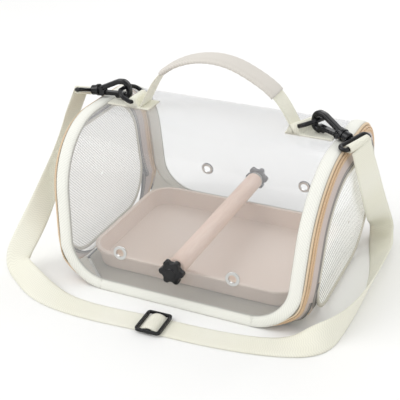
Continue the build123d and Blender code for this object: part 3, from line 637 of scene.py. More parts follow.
def timber(name, light, dark):
    """Turned dowel: light to dark by 0.45 * fract(6 * grain) + 0.35 * pores, both stretched along the dowel, Y."""
    material, tree, shader, coords = start_material(name)
    mapping = tree.nodes.new("ShaderNodeMapping")
    mapping.inputs["Scale"].default_value = (1.0, GRAIN_STRETCH, 1.0)
    tree.links.new(coords.outputs["Object"], mapping.inputs["Vector"])
    grain = noise(tree, mapping.outputs["Vector"], 260, 4, 0.6)
    pores = noise(tree, mapping.outputs["Vector"], 1500, 2, 0.7)
    ring = calc(tree, "FRACT", times(tree, grain, 6.0))
    factor = plus(tree, times(tree, ring, 0.45), times(tree, pores, 0.35))
    tree.links.new(mix_colour(tree, factor, rgba(light), rgba(dark)), shader.inputs["Base Color"])
    tree.links.new(bump(tree, pores, 0.2, 0.0003), shader.inputs["Normal"])
    settle(shader, Roughness=0.5)
    return material


FINISH["perch"] = timber("perch wood", (242, 218, 202), (218, 184, 164))
print("grain stretched", round(1 / GRAIN_STRETCH, 1), "times along the dowel")

# %% [markdown]
# ## Dressing a piece
# Each new cloth piece gets a finish, and the CAD nodes that it stands for are hidden. The two could be set apart,
# but one small function for them keeps either of them from being forgotten.


def finish_with(made, key):
    """Gives a piece one finish."""
    made.data.materials.clear()
    made.data.materials.append(FINISH[key])


def dress(made, key, *nodes):
    """Gives a new cloth piece its finish, and says which CAD nodes it stands for."""
    finish_with(made, key)
    if nodes:
        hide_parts(*nodes)
    return made


# %% [markdown]
# ## Where the shoulder strap starts and ends
# Each end of the strap loops round the bar of a swivel ring, which hangs from a hook in a D-ring. The ring could be
# measured in the CAD mesh, but three turns and three lengths give its bar exactly: out to the D-ring's bow, back to
# the hook's start, and along the hook.

# %% Strap ends
WEB_W, WEB_T = 25.0, 1.6
BAR_Z = 158.2  # height of the D-rings' sewn-in bars
RING_TILT, RING_REACH = 27.0, 17.0
HOOK_TILT, HOOK_START, HOOK_LENGTH = -10.0, (1.5, 0, -1.0), 45.0
D_RINGS = {"left": ((-88.0, 0.0), 180.0, 20.0), "right": ((85.5, 5.0), -25.0, 8.0)}  # bar place, turn, hook's roll
LOOP_IN = 2.35  # inner radius of the loop of webbing


def turned(turn, tilt, roll=0.0):
    """Rotation: about the upright, then tipped up, then rolled about its own x."""
    return (Matrix.Rotation(radians(turn), 3, "Z") @ Matrix.Rotation(radians(-tilt), 3, "Y")
            @ Matrix.Rotation(radians(roll), 3, "X"))


def strap_bar(bar, turn, roll):
    """Middle and direction of a swivel ring's strap bar."""
    bow = Vector((*bar, BAR_Z)) + turned(turn, RING_TILT) @ Vector((RING_REACH, 0, 0))
    origin = bow + turned(turn, HOOK_TILT) @ Vector(HOOK_START)
    rolled = turned(turn, HOOK_TILT, roll)
    return np.array(origin + rolled @ Vector((HOOK_LENGTH, 0, 0))), np.array(rolled @ Vector((0, 1, 0)))


def bar_end(side, outward):
    """The strap's end station beside a bar, as (place, width direction), and the way outwards from the bar."""
    bar_middle, bar_along = bars[side]
    outward = unit(np.array(outward) - bar_along * np.dot(outward, bar_along))
    return (bar_middle + outward * (LOOP_IN + WEB_T / 2), bar_along if bar_along[1] > 0 else -bar_along), outward


bars = {side: strap_bar(*ring) for side, ring in D_RINGS.items()}
first, out_left = bar_end("left", (-1, 0, -0.1))
last, out_right = bar_end("right", (0.9, -0.4, -0.1))
print("strap bars at", bars["left"][0].round(1), bars["right"][0].round(1))

# %% [markdown]
# ## The strap's route
# The strap hangs from the left hook, lies along the front in a wide curve, passes the slider, turns up beside the
# right end and climbs to the other hook. A rope could be simulated, but then it wouldn't lie as it does here. Each
# station gives a place and the direction of the webbing's width. The curve goes smoothly past them.

# %% Strap route
LEFT_SIDE = [
    ((-155.2, -14, 138.5), (0, 0.84, -0.54)), ((-153.2, -30, 120), (0.06, 0.78, -0.62)),
    ((-152.5, -47, 102), (0.18, 0.72, -0.66)), ((-153.5, -64, 84), (0.36, 0.64, -0.66)),
    ((-155, -79, 67), (0.55, 0.55, -0.6)), ((-158, -92, 51), (0.75, 0.42, -0.5)),
    ((-163, -101, 36), (0.9, 0.25, -0.3)), ((-168.5, -106, 23), (0.95, 0.22, 0.05)),
    ((-170, -109.5, 13.5), (0.8, 0.38, 0.35)), ((-165, -115.5, 9.8), (0.5, 0.5, 0.66)),
    ((-153, -124, 8.4), (0.27, 0.62, 0.7)), ((-136, -133.5, 6.4), (0.15, 0.8, 0.5)),
    ((-118, -140, 3.8), (0.1, 0.94, 0.25)), ((-98, -144, 1.6), (0.04, 1, 0.06)),
    ((-74, -145.3, 1.0), (0, 1, 0)), ((-48, -144.6, 1.0), (-0.01, 1, 0)),
]
RIGHT_SIDE = [
    ((26, -140.6, 1.0), (-0.03, 1, 0)), ((50, -139.2, 1.0), (-0.07, 1, 0)), ((74, -136.4, 1.0), (-0.12, 1, 0)),
    ((98, -132, 1.2), (-0.2, 0.98, 0.02)), ((116, -127, 2.0), (-0.28, 0.95, 0.1)),
    ((130, -121.5, 4.2), (-0.38, 0.85, 0.32)), ((141, -114.5, 7.4), (-0.4, 0.6, 0.66)),
    ((150, -104, 10.4), (-0.25, 0.3, 0.9)), ((156, -88, 12.2), (-0.05, 0.08, 1)),
    ((159.5, -66, 12.4), (0.12, 0, 1)), ((161.5, -42, 12.2), (0.22, 0, 0.97)), ((162, -18, 11.6), (0.32, 0, 0.95)),
    ((161, 6, 10.6), (0.45, 0, 0.89)), ((159, 30, 9), (0.6, 0, 0.8)), ((155.5, 54, 6.8), (0.78, 0, 0.62)),
    ((151, 76, 4.6), (0.92, 0.08, 0.38)), ((147, 93, 3.6), (0.96, 0.16, 0.2)), ((144.4, 104, 5.6), (0.96, 0.1, 0.2)),
    ((143, 108.5, 12.6), (0.96, 0.1, 0.2)), ((141.8, 104, 20.5), (0.93, 0.2, 0.3)),
    ((144.1, 84, 34.6), (0.84, 0.4, 0.42)), ((146.4, 61, 53), (0.72, 0.52, 0.48)),
    ((147.8, 38, 73.8), (0.62, 0.62, 0.5)), ((148.2, 20, 93.6), (0.54, 0.68, 0.5)),
    ((148.2, 3.5, 112.8), (0.48, 0.74, 0.46)), ((147.4, -9, 129.4), (0.42, 0.82, 0.36)),
    ((146.2, -17, 142.5), (0.4, 0.88, 0.22)),
]
# Way along and height where the strap goes up over the slider's middle bar, and the slider's place and turn.
SLIDER_PASS = [(-13.5, 1.0), (-9.6, 1.0), (-3.4, 5.4), (3.4, 5.4), (9.6, 1.0), (13.5, 1.0)]
SLIDER_X, SLIDER_Y, SLIDER_TURN = -3.5, -141.5, radians(2.0)
FLOOR_GAP = 0.2

over = [((SLIDER_X + x * cos(SLIDER_TURN), SLIDER_Y + x * sin(SLIDER_TURN), z),
         (-sin(SLIDER_TURN), cos(SLIDER_TURN), 0)) for x, z in SLIDER_PASS]
stations = [first] + LEFT_SIDE + over + RIGHT_SIDE + [last]
points = np.array([s[0] for s in stations], float)
ahead = unit(np.concatenate([points[1:2] - points[:1], points[2:] - points[:-2], points[-1:] - points[-2:-1]]))
wide = np.array([s[1] for s in stations], float)
wide = unit(wide - ahead * (wide * ahead).sum(1, keepdims=True))
low = points[:, 2] - np.abs(wide[:, 2]) * WEB_W / 2 - np.abs(np.cross(ahead, wide)[:, 2]) * WEB_T / 2
points[:, 2] += np.maximum(0.0, FLOOR_GAP - low)
print("strap stations", len(points))

# %% [markdown]
# ## The strap's webbing
# Two NURBS curves, one for each edge of the webbing, carry its twist along with it, and the middle line is halfway
# between them. A curve with a tilt for each point would do as well, but it is harder to keep flat on the floor.

# %% Strap webbing
WEB_SECTION = flat_profile(-WEB_W / 2, WEB_W / 2, WEB_T, 0.0, 11) - np.array([0, WEB_T / 2])
CURVE_FINE = 10  # points of the curve for each station
END_OUT, END_RUN = 0.7, 14.0  # how far the ends stand off the rings, so that these can turn, and over what length


def nurbs(control):
    """Points of a smooth NURBS line (order 3, through its end points) in millimetres."""
    curve = bpy.data.curves.new("route", "CURVE")
    curve.dimensions = "3D"
    line = curve.splines.new("NURBS")
    line.points.add(len(control) - 1)
    line.points.foreach_set("co", np.c_[control * MM, np.ones(len(control))].astype(np.float32).ravel())
    line.order_u, line.use_endpoint_u, line.resolution_u = 3, True, CURVE_FINE
    holder = put_in_scene("route", curve)
    bpy.context.view_layer.update()
    mesh = bpy.data.meshes.new_from_object(holder)
    co = np.empty(len(mesh.vertices) * 3, np.float32)
    mesh.vertices.foreach_get("co", co)
    bpy.data.objects.remove(holder)
    bpy.data.meshes.remove(mesh)
    return co.reshape(-1, 3).astype(float) / MM


edge_a, edge_b = nurbs(points + wide * WEB_W / 2), nurbs(points - wide * WEB_W / 2)
middle = (edge_a + edge_b) / 2
run = lengths(middle)
for outward, away in ((out_left, run), (out_right, run[-1] - run)):
    middle += outward * (END_OUT * np.clip(1 - away / END_RUN, 0, 1))[:, None]
side = unit(edge_a - edge_b)
along = unit(np.gradient(middle, axis=0))
side = unit(side - along * (side * along).sum(1, keepdims=True))
strap = dress(strip("strap", middle, side, np.cross(along, side), WEB_SECTION, "bag"), "webbing", "shoulder_strap")

# %% [markdown]
# ## Loops round the rings
# The strap's ends are folded round the rings' bars and sewn. Each loop turns with its ring, so it is a piece of its
# own that rides on the ring's body.

# %% Strap loops
LOOP_RUN = 3.2  # cloth length for each radian round the bar
for side_name, outward in (("left", out_left), ("right", out_right)):
    bar_middle, bar_along = bars[side_name]
    angle = np.linspace(0, 2 * pi, 41)
    ring = np.cos(angle[:-1])[:, None] * outward + np.sin(angle[:-1])[:, None] * np.cross(bar_along, outward)
    across = np.linspace(-WEB_W / 2, WEB_W / 2, 9)
    outer = bar_middle + ring[:, None] * (LOOP_IN + WEB_T) + across[None, :, None] * bar_along
    inner = bar_middle + ring[:, None] * LOOP_IN + across[None, ::-1, None] * bar_along
    grid = np.concatenate([outer, inner], axis=1)
    grid = np.concatenate([grid, grid[:1]], axis=0)
    uv = strip_uv(angle * LOOP_RUN, np.r_[across, across[::-1]])
    dress(surface(f"strap_loop_{side_name}", grid, f"swivel_ring_{side_name}", uv), "webbing")
print("loops of radius", LOOP_IN + WEB_T, "mm")

# %% [markdown]
# ## The bag's skin
# The bag is a D-shaped profile run from end to end: straight sides that lean in a little, big round shoulders and a
# flat top. A cube could be bevelled to this shape, but then nothing would know where its surface is. Here a place on
# the skin is a pair of numbers, x along the bag and q, the way up round the profile, so that the wrap, the bands and
# the zips can all be laid on one formula.

# %% Skin of the bag
BASE_HALF, TOP_HALF, BAG_H, TOP_R = 108.0, 94.0, 153.0, 70.0
END_X, END_LEAN = 120.0, radians(3.5)
LEAN = atan2(BASE_HALF - TOP_HALF, BAG_H)
FLAT_Y = TOP_HALF - TOP_R * tan(pi / 4 - LEAN / 2)
ARC_Z = BAG_H - TOP_R
SIDE_Q = (ARC_Z + TOP_R * sin(LEAN)) / cos(LEAN)
ARC_Q = TOP_R * (pi / 2 - LEAN)
HALF_Q = SIDE_Q + ARC_Q + FLAT_Y


def side_half(z, inset=0.0):
    """Half depth of the bag at a height: base half - (base half - top half) z / height - inset / cos(lean)."""
    return BASE_HALF - (BASE_HALF - TOP_HALF) * z / BAG_H - inset / cos(LEAN)


def skin(q, sign, inset=0.0):
    """Depth y, height z and outward normal at way q up one side; sign -1 is the front. Up to SIDE_Q it is the
    leaning line, then a circle of radius TOP_R - inset, then the flat top."""
    q = np.asarray(q, float)
    a = LEAN + np.clip((q - SIDE_Q) / TOP_R, 0, pi / 2 - LEAN)
    radius = TOP_R - inset
    on_side = q < SIDE_Q
    z = np.where(on_side, q * cos(LEAN), ARC_Z + radius * np.sin(a))
    flat = np.clip(q - SIDE_Q - ARC_Q, 0, FLAT_Y)
    y = np.where(on_side, side_half(z, inset), FLAT_Y - flat + radius * np.cos(a))
    return sign * y, z, sign * np.cos(a), np.sin(a)


def there_and_back(rows):
    """Rows up to the middle of the top, and the same rows down the other side."""
    return np.r_[rows, rows[-2::-1]]


print("way round the bag", round(HALF_Q * 2), "mm")

# %% [markdown]
# ## Padded band
# A soft off-white band is sewn round each end and along both feet: a low cushion between two sewn grooves. A tube
# squashed flat would miss the grooves. The section here is a rounded bump with a dip at each row of stitches, and
# its height puckers a little from stitch to stitch.

# %% Padded band
PAD_THICK, PAD_SINK, PAD_UNDER = 2.35, 1.9, 3.3
GROOVE_DEEP, GROOVE_WIDE = 0.45, 0.07
PUCKER, PUCKER_STEP, PUCKER_FROM = 0.10, 4.6, 0.6
PAD_POINTS, PAD_LOWEST = 17, 0.05


def pad_profile():
    """Height over t from -1 to 1: -1.9 + 2.35 (1 - t^2)^0.35 - 0.45 exp(-((|t| - 0.74) / 0.07)^2)."""
    t = np.linspace(-1, 1, PAD_POINTS)
    crown = np.sqrt(np.clip(1 - t**2, 0, 1)) ** 0.7
    groove = GROOVE_DEEP * np.exp(-(((np.abs(t) - STITCH_AT) / GROOVE_WIDE) ** 2))
    return t, -PAD_SINK + PAD_THICK * crown - groove


def padded_strip(name, outer, inner, signs, node):
    """A padded band between an outer and an inner edge line, each a row of (x, q) on the skin. Each point is
    the skin + its normal * (pad height + pucker). The underside lies 3.3 mm below the skin."""
    t, high = pad_profile()
    run = lengths((outer + inner) / 2)
    pucker = PUCKER * np.sin(run * 2 * pi / PUCKER_STEP)[:, None] * (np.abs(t) > PUCKER_FROM)
    between = inner[:, None] + (outer - inner)[:, None] * ((t + 1) / 2)[:, None]
    x, q = between[..., 0], between[..., 1]
    y, z, ny, nz = skin(q, signs[:, None])
    lift = high + pucker
    top = np.stack([x, y + ny * lift, z + nz * lift], axis=-1)
    under = np.stack([x, y - ny * PAD_UNDER, z - nz * PAD_UNDER], axis=-1)[:, ::-1]
    grid = np.concatenate([top, under], axis=1)
    grid[..., 2] = np.maximum(grid[..., 2], PAD_LOWEST)
    uv = strip_uv(run, np.r_[t, t[::-1]] * BAND_HALF)
    made = dress(surface(name, grid, "bag", uv, capped=True), "band", node)


print("band is", round(np.ptp(pad_profile()[1]), 2), "mm high")

# %% [markdown]
# ## Hoops and feet
# The hoop round each end follows the end's edge and turns in under the lower corners on a 45 mm radius, its inner
# edge on 34 mm. The strips along the feet start where the hoops end.

# %% Bands on the bag
CORNER_R, INNER_R, BAND_W, FOOT_W = 45.0, 34.0, 13.0, 11.0
HOOP_X, HOOP_SLOPE = 119.53, 0.0915  # the hoop's outer edge below the corner: x = HOOP_X + HOOP_SLOPE * z
FOOT_X, OUTER_FROM, INNER_FROM = 78.9, 74.5, 73.7
HOOP_FROM = 4.0  # degrees round the lower corner at which the hoop starts
ENDS = (("right", 1), ("left", -1))


def band_edges(end):
    """Outer and inner edge of the hoop round one end, front corner first, as (x, q), and the side's sign."""
    turn = np.radians(np.linspace(HOOP_FROM, 90.0, 30))
    z_out, z_in = CORNER_R - CORNER_R * np.cos(turn), CORNER_R - INNER_R * np.cos(turn)
    x_out = np.minimum(END_X + z_out * tan(END_LEAN), HOOP_X + HOOP_SLOPE * z_out - CORNER_R * (1 - np.sin(turn)))
    x_in = END_X - BAND_W + z_in * tan(END_LEAN) - INNER_R * (1 - np.sin(turn))
    up_q = np.linspace(CORNER_R / cos(LEAN), HALF_Q, 70)[1:]
    z_up = skin(up_q, 1)[1]
    outer = there_and_back(np.r_[np.c_[x_out, z_out / cos(LEAN)], np.c_[END_X + z_up * tan(END_LEAN), up_q]])
    inner = there_and_back(np.r_[np.c_[x_in, z_in / cos(LEAN)], np.c_[END_X - BAND_W + z_up * tan(END_LEAN), up_q]])
    n = len(outer) // 2
    return outer * [end, 1], inner * [end, 1], np.r_[-np.ones(n + 1), np.ones(n)]


def rise_past(x, start, radius):
    """Height of a rounded corner: radius - sqrt(radius^2 - (|x| - start)^2) past the start, else 0."""
    return radius - np.sqrt(radius**2 - np.clip(np.abs(x) - start, 0, None) ** 2)


for name, end in ENDS:
    padded_strip(f"edge_band_{name}", *band_edges(end), f"band_{name}")
x = np.linspace(-FOOT_X, FOOT_X, 60)
outer = np.c_[x, rise_past(x, OUTER_FROM, CORNER_R) / cos(LEAN)]
inner = np.c_[x, (FOOT_W + rise_past(x, INNER_FROM, INNER_R)) / cos(LEAN)]
for name, sign in (("front", -1.0), ("back", 1.0)):
    padded_strip(f"bottom_band_{name}", outer, inner, np.full(len(x), sign), f"band_bottom_{name}")
print("hoop run", round(lengths(band_edges(1)[0])[-1]), "mm")

# %% [markdown]
# ## The clear wrap
# One sheet of soft clear plastic goes up the front, over the top and down the back. It is a grid on the skin with
# slow ripples a few tenths of a millimetre high, which fade out where something is fixed to it. A flat sheet with
# a ripple in its bump would look stiff where the light grazes it.

# %% Clear wrap: two layers of points
HALF_ROWS, WRAP_COLS = 104, 117
WRAP_OUT, WRAP_IN = 1.55, 2.25  # the sheet's two faces, as insets from the skin
RIPPLE, WAVE_X, WAVE_Q, WAVE_SIDE = 0.35, 17, 26, 21
HEM_CALM, HEM_FADE = 5, 16  # the ripples start this far inside the hoops' middle lines, and grow over 16 mm
FOOT_CALM, FOOT_FADE, TOP_CALM, TOP_FADE = 12, 14, 146, 12  # the same for height, from below and from above
FIXINGS = [(57, 43, 16, 4.6), (-57, 43, 16, 4.6), (0, 40, 26, 3.6)]  # x, z, width kept calm, radius of the hole

band_out, band_in, _ = band_edges(1)
mid_x, mid_q = ((band_out + band_in) / 2)[: len(band_out) // 2 + 1].T
low_q = mid_q[0] + 0.2
rows_q = there_and_back(np.linspace(low_q, HALF_Q, HALF_ROWS))
rows_sign = np.r_[-np.ones(HALF_ROWS), np.ones(HALF_ROWS - 1)][:, None]
limit_x = np.interp(rows_q, mid_q, mid_x)
across_x = np.linspace(-1, 1, WRAP_COLS)[None] * limit_x[:, None]
wrap_q = np.repeat(rows_q[:, None], WRAP_COLS, 1)


def grows(way, over):
    """0 where the way is 0, rising evenly to 1 over a length."""
    return np.clip(way / over, 0, 1)


def wrap_sheet(inset):
    """Skin at an inset, plus its normal * ripple = 0.35 fade sin(x / 17 + q / 26) cos(q / 21 + side)."""
    y, z, ny, nz = skin(wrap_q, rows_sign, inset)
    fade = np.ones_like(z)
    for fx, fz, calm, _ in FIXINGS:
        fade *= grows(np.hypot(across_x - fx, z - fz) - calm / 2, calm)
    fade *= grows(limit_x[:, None] - np.abs(across_x) - HEM_CALM, HEM_FADE) * grows(z - FOOT_CALM, FOOT_FADE)
    fade *= grows(TOP_CALM - z, TOP_FADE)
    wave = np.sin(across_x / WAVE_X + wrap_q / WAVE_Q) * np.cos(wrap_q / WAVE_SIDE + rows_sign)
    ripple = RIPPLE * fade * wave
    return np.stack([across_x, y + ny * ripple, z + nz * ripple], axis=-1)


outside, inside = wrap_sheet(WRAP_OUT), wrap_sheet(WRAP_IN)
print("flat size of the wrap", round(2 * HALF_Q - 2 * low_q), "x", round(2 * limit_x.max()), "mm")

# %% [markdown]
# ## Holes and edges of the wrap
# Eyelets and the perch's studs go through the sheet, so the quads there are left out. Every edge that only one quad
# uses is then a rim, and gets a wall to the inner layer, so that the sheet is closed all round.

# %% Clear wrap: mesh with holes and walls
hole = np.zeros(outside.shape[:2], bool)
for fx, fz, _, reach in FIXINGS:
    hole |= np.hypot(outside[..., 0] - fx, outside[..., 2] - fz) < reach
quad = grid_quads(np.arange(hole.size).reshape(hole.shape))
quad = quad[~hole.ravel()[quad].any(axis=1)]
under = quad[:, ::-1] + hole.size
edges = np.concatenate([quad[:, [i, (i + 1) % 4]] for i in range(4)])
_, first_at, count = np.unique(np.sort(edges, axis=1), axis=0, return_index=True, return_counts=True)
rim = edges[first_at[count == 1]]
walls = np.c_[rim[:, 1], rim[:, 0], rim[:, 0] + hole.size, rim[:, 1] + hole.size]
faces = np.concatenate([quad, under, walls])
mesh = bpy.data.meshes.new("clear_wrap")
mesh.from_pydata((np.concatenate([outside, inside]).reshape(-1, 3) * MM).tolist(), [], faces.tolist())
mesh.polygons.foreach_set("use_smooth", np.ones(len(mesh.polygons), bool))
mesh.update()
wrap = put_in_scene("clear_wrap", mesh)
face_outwards(wrap, np.setdiff1d(np.arange(len(mesh.vertices)), np.unique(faces)))
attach(wrap, "bag")
dress(wrap, "window", "window_wrap")
print("clear wrap", len(mesh.polygons), "faces,", len(walls), "of them walls")

# %% [markdown]
# ## The zipped ends
# Each end is cloth stretched on a hoop, rounded under at its lower corners, with a door that swells 7 mm from the
# zip to the net. Sculpting it would give a good shape, but nothing to lay a zip on. So an end is a height map: for
# a depth y and a height z it gives how far out the cloth lies, and every zip line takes its x from it.

# %% Height map of an end
FOOT, TUCK = 2.6, 3.2
BULGE, BULGE_W, RIM = 7.0, 17.0, 0.8
CORNER_OUT, CORNER_AT = 0.9, 15  # how far the rounded corner stands out, and the height its side is taken at
FLAT = CORNER_R / 2**0.5
S_MOST = 0.998  # just short of 1, where the arc would be upright
FAR_INSIDE = 1e3


def inset_of(y, z):
    """How far a place lies inside the door's outline: the least of its ways to the side, the top, the foot and
    the rounded corner."""
    y = np.abs(y)
    side = (side_half(z) - y) * cos(LEAN)
    top = np.where(y < FLAT_Y, BAG_H - z, np.where(z > ARC_Z, TOP_R - np.hypot(y - FLAT_Y, z - ARC_Z), side))
    cy, cz = side_half(FOOT + CORNER_R) - CORNER_R, FOOT + CORNER_R
    corner = np.where((y > cy) & (z < cz), CORNER_R - np.hypot(y - cy, z - cz), FAR_INSIDE)
    return np.minimum(np.minimum(side, top), np.minimum(z - FOOT, corner))


def swell(inset):
    """The door's swelling: 7 mm * (inset - rim) / (17 - rim), held between 0 and 7 mm."""
    return BULGE * np.clip((inset - RIM) / (BULGE_W - RIM), 0, 1)


def end_surface(y, z):
    """x of the right end's cloth: the lower of the leaning plane and the rounded corner, which is an arc in
    s = (45 - z) / 41.8, and inside the door's rim the higher of that and the swollen door."""
    plane = END_X + z * tan(END_LEAN)
    s = np.clip((CORNER_R - z) / (CORNER_R - TUCK), 0, S_MOST)
    arc = END_X + CORNER_OUT - FLAT / 2**0.5 + 2**0.5 * FLAT * np.sqrt(1 - s**2)
    corner = arc - (np.abs(y) - side_half(CORNER_AT) + FLAT / 2**0.5)
    body = np.where(z < CORNER_R, np.minimum(plane, corner), plane)
    depth = inset_of(y, z)
    return np.where(depth > RIM, np.maximum(body, plane + swell(depth)), body)


print("end at mid height", end_surface(np.zeros(1), np.array([80.0])).round(1), "mm out")

# %% [markdown]
# ## The zip's line
# One seam runs from under the front corner, over the top, to under the back corner. It needs two more directions
# everywhere, outwards and across, and both come from the slope of the height map.

# %% Seam
SEAM_INSET, SEAM_LOW, SLOPE_STEP = 6.0, 4.4, 0.4
SMOOTH_PATH, SMOOTH_NORMAL = 7, 9  # rows in each running mean


def smooth_rows(values, width):
    """Running mean along rows with the ends held."""
    pad = width // 2
    kernel = np.ones(width) / width
    padded = np.r_[np.repeat(values[:1], pad, 0), values, np.repeat(values[-1:], pad, 0)]
    return np.stack([np.convolve(padded[:, i], kernel, "valid") for i in range(values.shape[1])], axis=1)


def seam_path(inset, z_low):
    """Path at one inset, the direction across, which points into the door, and the outward normal
    (1, -dx/dy, -dx/dz), both directions turned square to the path."""
    reach = CORNER_R - TUCK
    z_corner = CORNER_R - reach * np.cos(np.linspace(np.arccos((CORNER_R - z_low) / reach), pi / 2, 26))
    y_up, z_up, _, _ = skin(np.linspace(CORNER_R / cos(LEAN), HALF_Q, 80)[1:], 1, inset)
    y, z = np.r_[side_half(z_corner, inset), y_up], np.r_[z_corner, z_up]
    y, z = np.r_[-y, y[-2::-1]], there_and_back(z)
    x = end_surface(y, z)
    path = smooth_rows(np.c_[x, y, z], SMOOTH_PATH)
    e = SLOPE_STEP
    fy = (end_surface(y + e, z) - end_surface(y - e, z)) / (2 * e)
    fz = (end_surface(y, z + e) - end_surface(y, z - e)) / (2 * e)
    normal = unit(smooth_rows(unit(np.c_[np.ones_like(x), -fy, -fz]), SMOOTH_NORMAL))
    along = unit(np.gradient(path, axis=0))
    across = unit(np.cross(normal, along))
    into_door = -1 if across[len(across) // 2, 2] > 0 else 1
    return path, across * into_door, np.cross(along, across)


def on_end(rows, end):
    """Rows of the right end, or their mirror image on the left."""
    return [part * np.array([end, 1, 1]) for part in rows]


seam = seam_path(SEAM_INSET, SEAM_LOW)
print("seam length", round(lengths(seam[0])[-1]), "mm")

# %% [markdown]
# ## Zip tape, coil and closed lower ends
# A zip is two tapes, each with a row of nylon coil, that meet at the seam. One tape and coil belong to the bag. Below
# the door's corners the zip is sewn shut, so both tapes stay on the bag there. All are strips with their own
# profiles along the same path.

# %% Zip on the bag
TAPE_T, TAPE_OUT, COIL_IN, COIL_OUT = 1.0, 5.5, 0.35, 2.1
LOW_END_W, LOW_END_Z = 15.6, 50
TAPE_UV, LOW_END_UV = 0.0055, 0.0060  # how far each tape lies across the zip's colours, in metres
BODY_COIL = flat_profile(-COIL_OUT, -COIL_IN, 1.9, 0.4, 9)
DOOR_COIL = flat_profile(COIL_IN, COIL_OUT, 1.9, 0.4, 9)


def shift_across(made, by):
    """Moves a tape's UV across by some metres, to its own place on the zip's colours."""
    layer = made.data.uv_layers[0].data
    values = np.empty(len(layer) * 2, np.float32)
    layer.foreach_get("uv", values)
    values[1::2] += by
    layer.foreach_set("uv", values)


for name, end in ENDS:
    rows = on_end(seam, end)
    tape = strip(f"zip_edge_{name}", *rows, flat_profile(-TAPE_OUT, -COIL_IN, TAPE_T), "bag")
    shift_across(tape, TAPE_UV)
    dress(tape, "zip", f"zip_tape_{name}")
    dress(strip(f"zip_coil_{name}", *rows, BODY_COIL, "bag"), "coil")
    for place, side_sign in (("front", -1), ("back", 1)):
        keep = (rows[0][:, 2] < LOW_END_Z) & (np.sign(rows[0][:, 1]) == side_sign)
        low_rows = [part[keep] for part in rows]
        low_end = strip(f"zip_end_cloth_{place}_{name}", *low_rows, flat_profile(COIL_IN, LOW_END_W, TAPE_T), "bag")
        shift_across(low_end, LOW_END_UV)
        dress(low_end, "zip", f"zip_end_{place}_{name}")
        dress(strip(f"zip_end_coil_{place}_{name}", *low_rows, DOOR_COIL, "bag"), "coil")
print("closed lower end of the zip", round(lengths(low_rows[0])[-1]), "mm long")

# %% [markdown]
# ## Outline of a door
# The door is the bag's profile drawn smaller: foot, round corners, leaning sides, shoulders and a flat top. Drawn at
# several insets with the same number of points, its outlines can be joined into a surface from one to the next.

# %% Door outlines
def door_line(inset, foot_inset, r_low):
    """Closed outline at an inset, in the end's own plane: straight runs joined by circles of radius r_low below
    and TOP_R - inset above."""
    cy_low = side_half(foot_inset + r_low, inset) - r_low
    foot = np.c_[np.linspace(0, cy_low, 14)[:-1], np.full(13, foot_inset)]
    a = np.linspace(-pi / 2, 0, 22)[:-1]
    corner = np.c_[cy_low + r_low * np.cos(a), foot_inset + r_low + r_low * np.sin(a)]
    z_side = np.linspace(foot_inset + r_low, ARC_Z + (TOP_R - inset) * sin(LEAN), 16)[:-1]
    side_part = np.c_[side_half(z_side, inset), z_side]
    b = np.linspace(LEAN, pi / 2, 30)
    shoulder = np.c_[FLAT_Y + (TOP_R - inset) * np.cos(b), ARC_Z + (TOP_R - inset) * np.sin(b)]
    top = np.c_[np.linspace(FLAT_Y, 0, 8)[1:], np.full(7, BAG_H - inset)]
    half = np.r_[foot, corner, side_part, shoulder, top]
    return np.r_[half, half[-2:0:-1] * np.array([-1, 1])]


def to_end(yz, rise):
    """From the leaning plane's depth and height to the bag: x = end + rise cos + height sin,
    z = height cos - rise sin, with the end's lean."""
    x = END_X + rise * cos(END_LEAN) + yz[..., 1] * sin(END_LEAN)
    z = yz[..., 1] * cos(END_LEAN) - rise * sin(END_LEAN)
    return np.stack([x, yz[..., 0], z], axis=-1)


def close_rows(grid):
    """Repeats the first row at the end, so that the last row meets it."""
    return np.concatenate([grid, grid[:1]], axis=0)


print("points in an outline", len(door_line(20.0, FOOT, 43.0)))

# %% [markdown]
# ## Door tape
# The door's zip tape is a sheet between two outlines, from the seam to the net. It rises with the door's swelling,
# and its UV counts on from the seam, so that its colours carry on those of the tape.

# %% Door tape
TAPE_IN, TAPE_RUN = 20.0, 13.5  # inset of the tape's inner edge, and the way across to it
SIDES_FROM = 60  # above this height the tape starts at the seam, below it closer to the edge

outer_line = door_line(0.9, FOOT + 0.4, CORNER_R - 0.9)
mesh_line = door_line(TAPE_IN, FOOT + 0.2, 43.0)
tape_start = SEAM_INSET + 0.4
limit = side_half(outer_line[:, 1], tape_start)
outer_line[:, 0] = np.clip(outer_line[:, 0], -limit, limit)
high = outer_line[:, 1] > SIDES_FROM
outer_line[high] = door_line(tape_start, FOOT + 0.4, CORNER_R - tape_start)[high]
share = np.linspace(0, 1, 9)[None, :, None]
sheet = outer_line[:, None] * (1 - share) + mesh_line[:, None] * share
lift = swell(inset_of(sheet[..., 0], sheet[..., 1]))
tape_grid = close_rows(np.concatenate([to_end(sheet, lift + 1.0), to_end(sheet, lift + 0.1)[:, ::-1]], axis=1))
distance = tape_start + TAPE_RUN * np.r_[share.ravel(), share.ravel()[::-1]]
tape_uv = strip_uv(lengths(close_rows(outer_line)), distance)
print("door tape grid", tape_grid.shape[:2])

# %% [markdown]
# ## Binding and net
# A rolled binding hides the edge of the net, so it is a flattened tube round the outline. The net is drawn tight,
# but still bellies out a little: rays from its middle to the binding, lifted in the middle.

# %% Binding and net
PIPE_WIDE, PIPE_HIGH = 2.0, 1.5  # half sizes of the binding
NET_MIDDLE = np.array([0.0, 68.0])
BILLOW = 1.4
NET_FROM = 0.02  # where the rays of the net start, as a share of their length

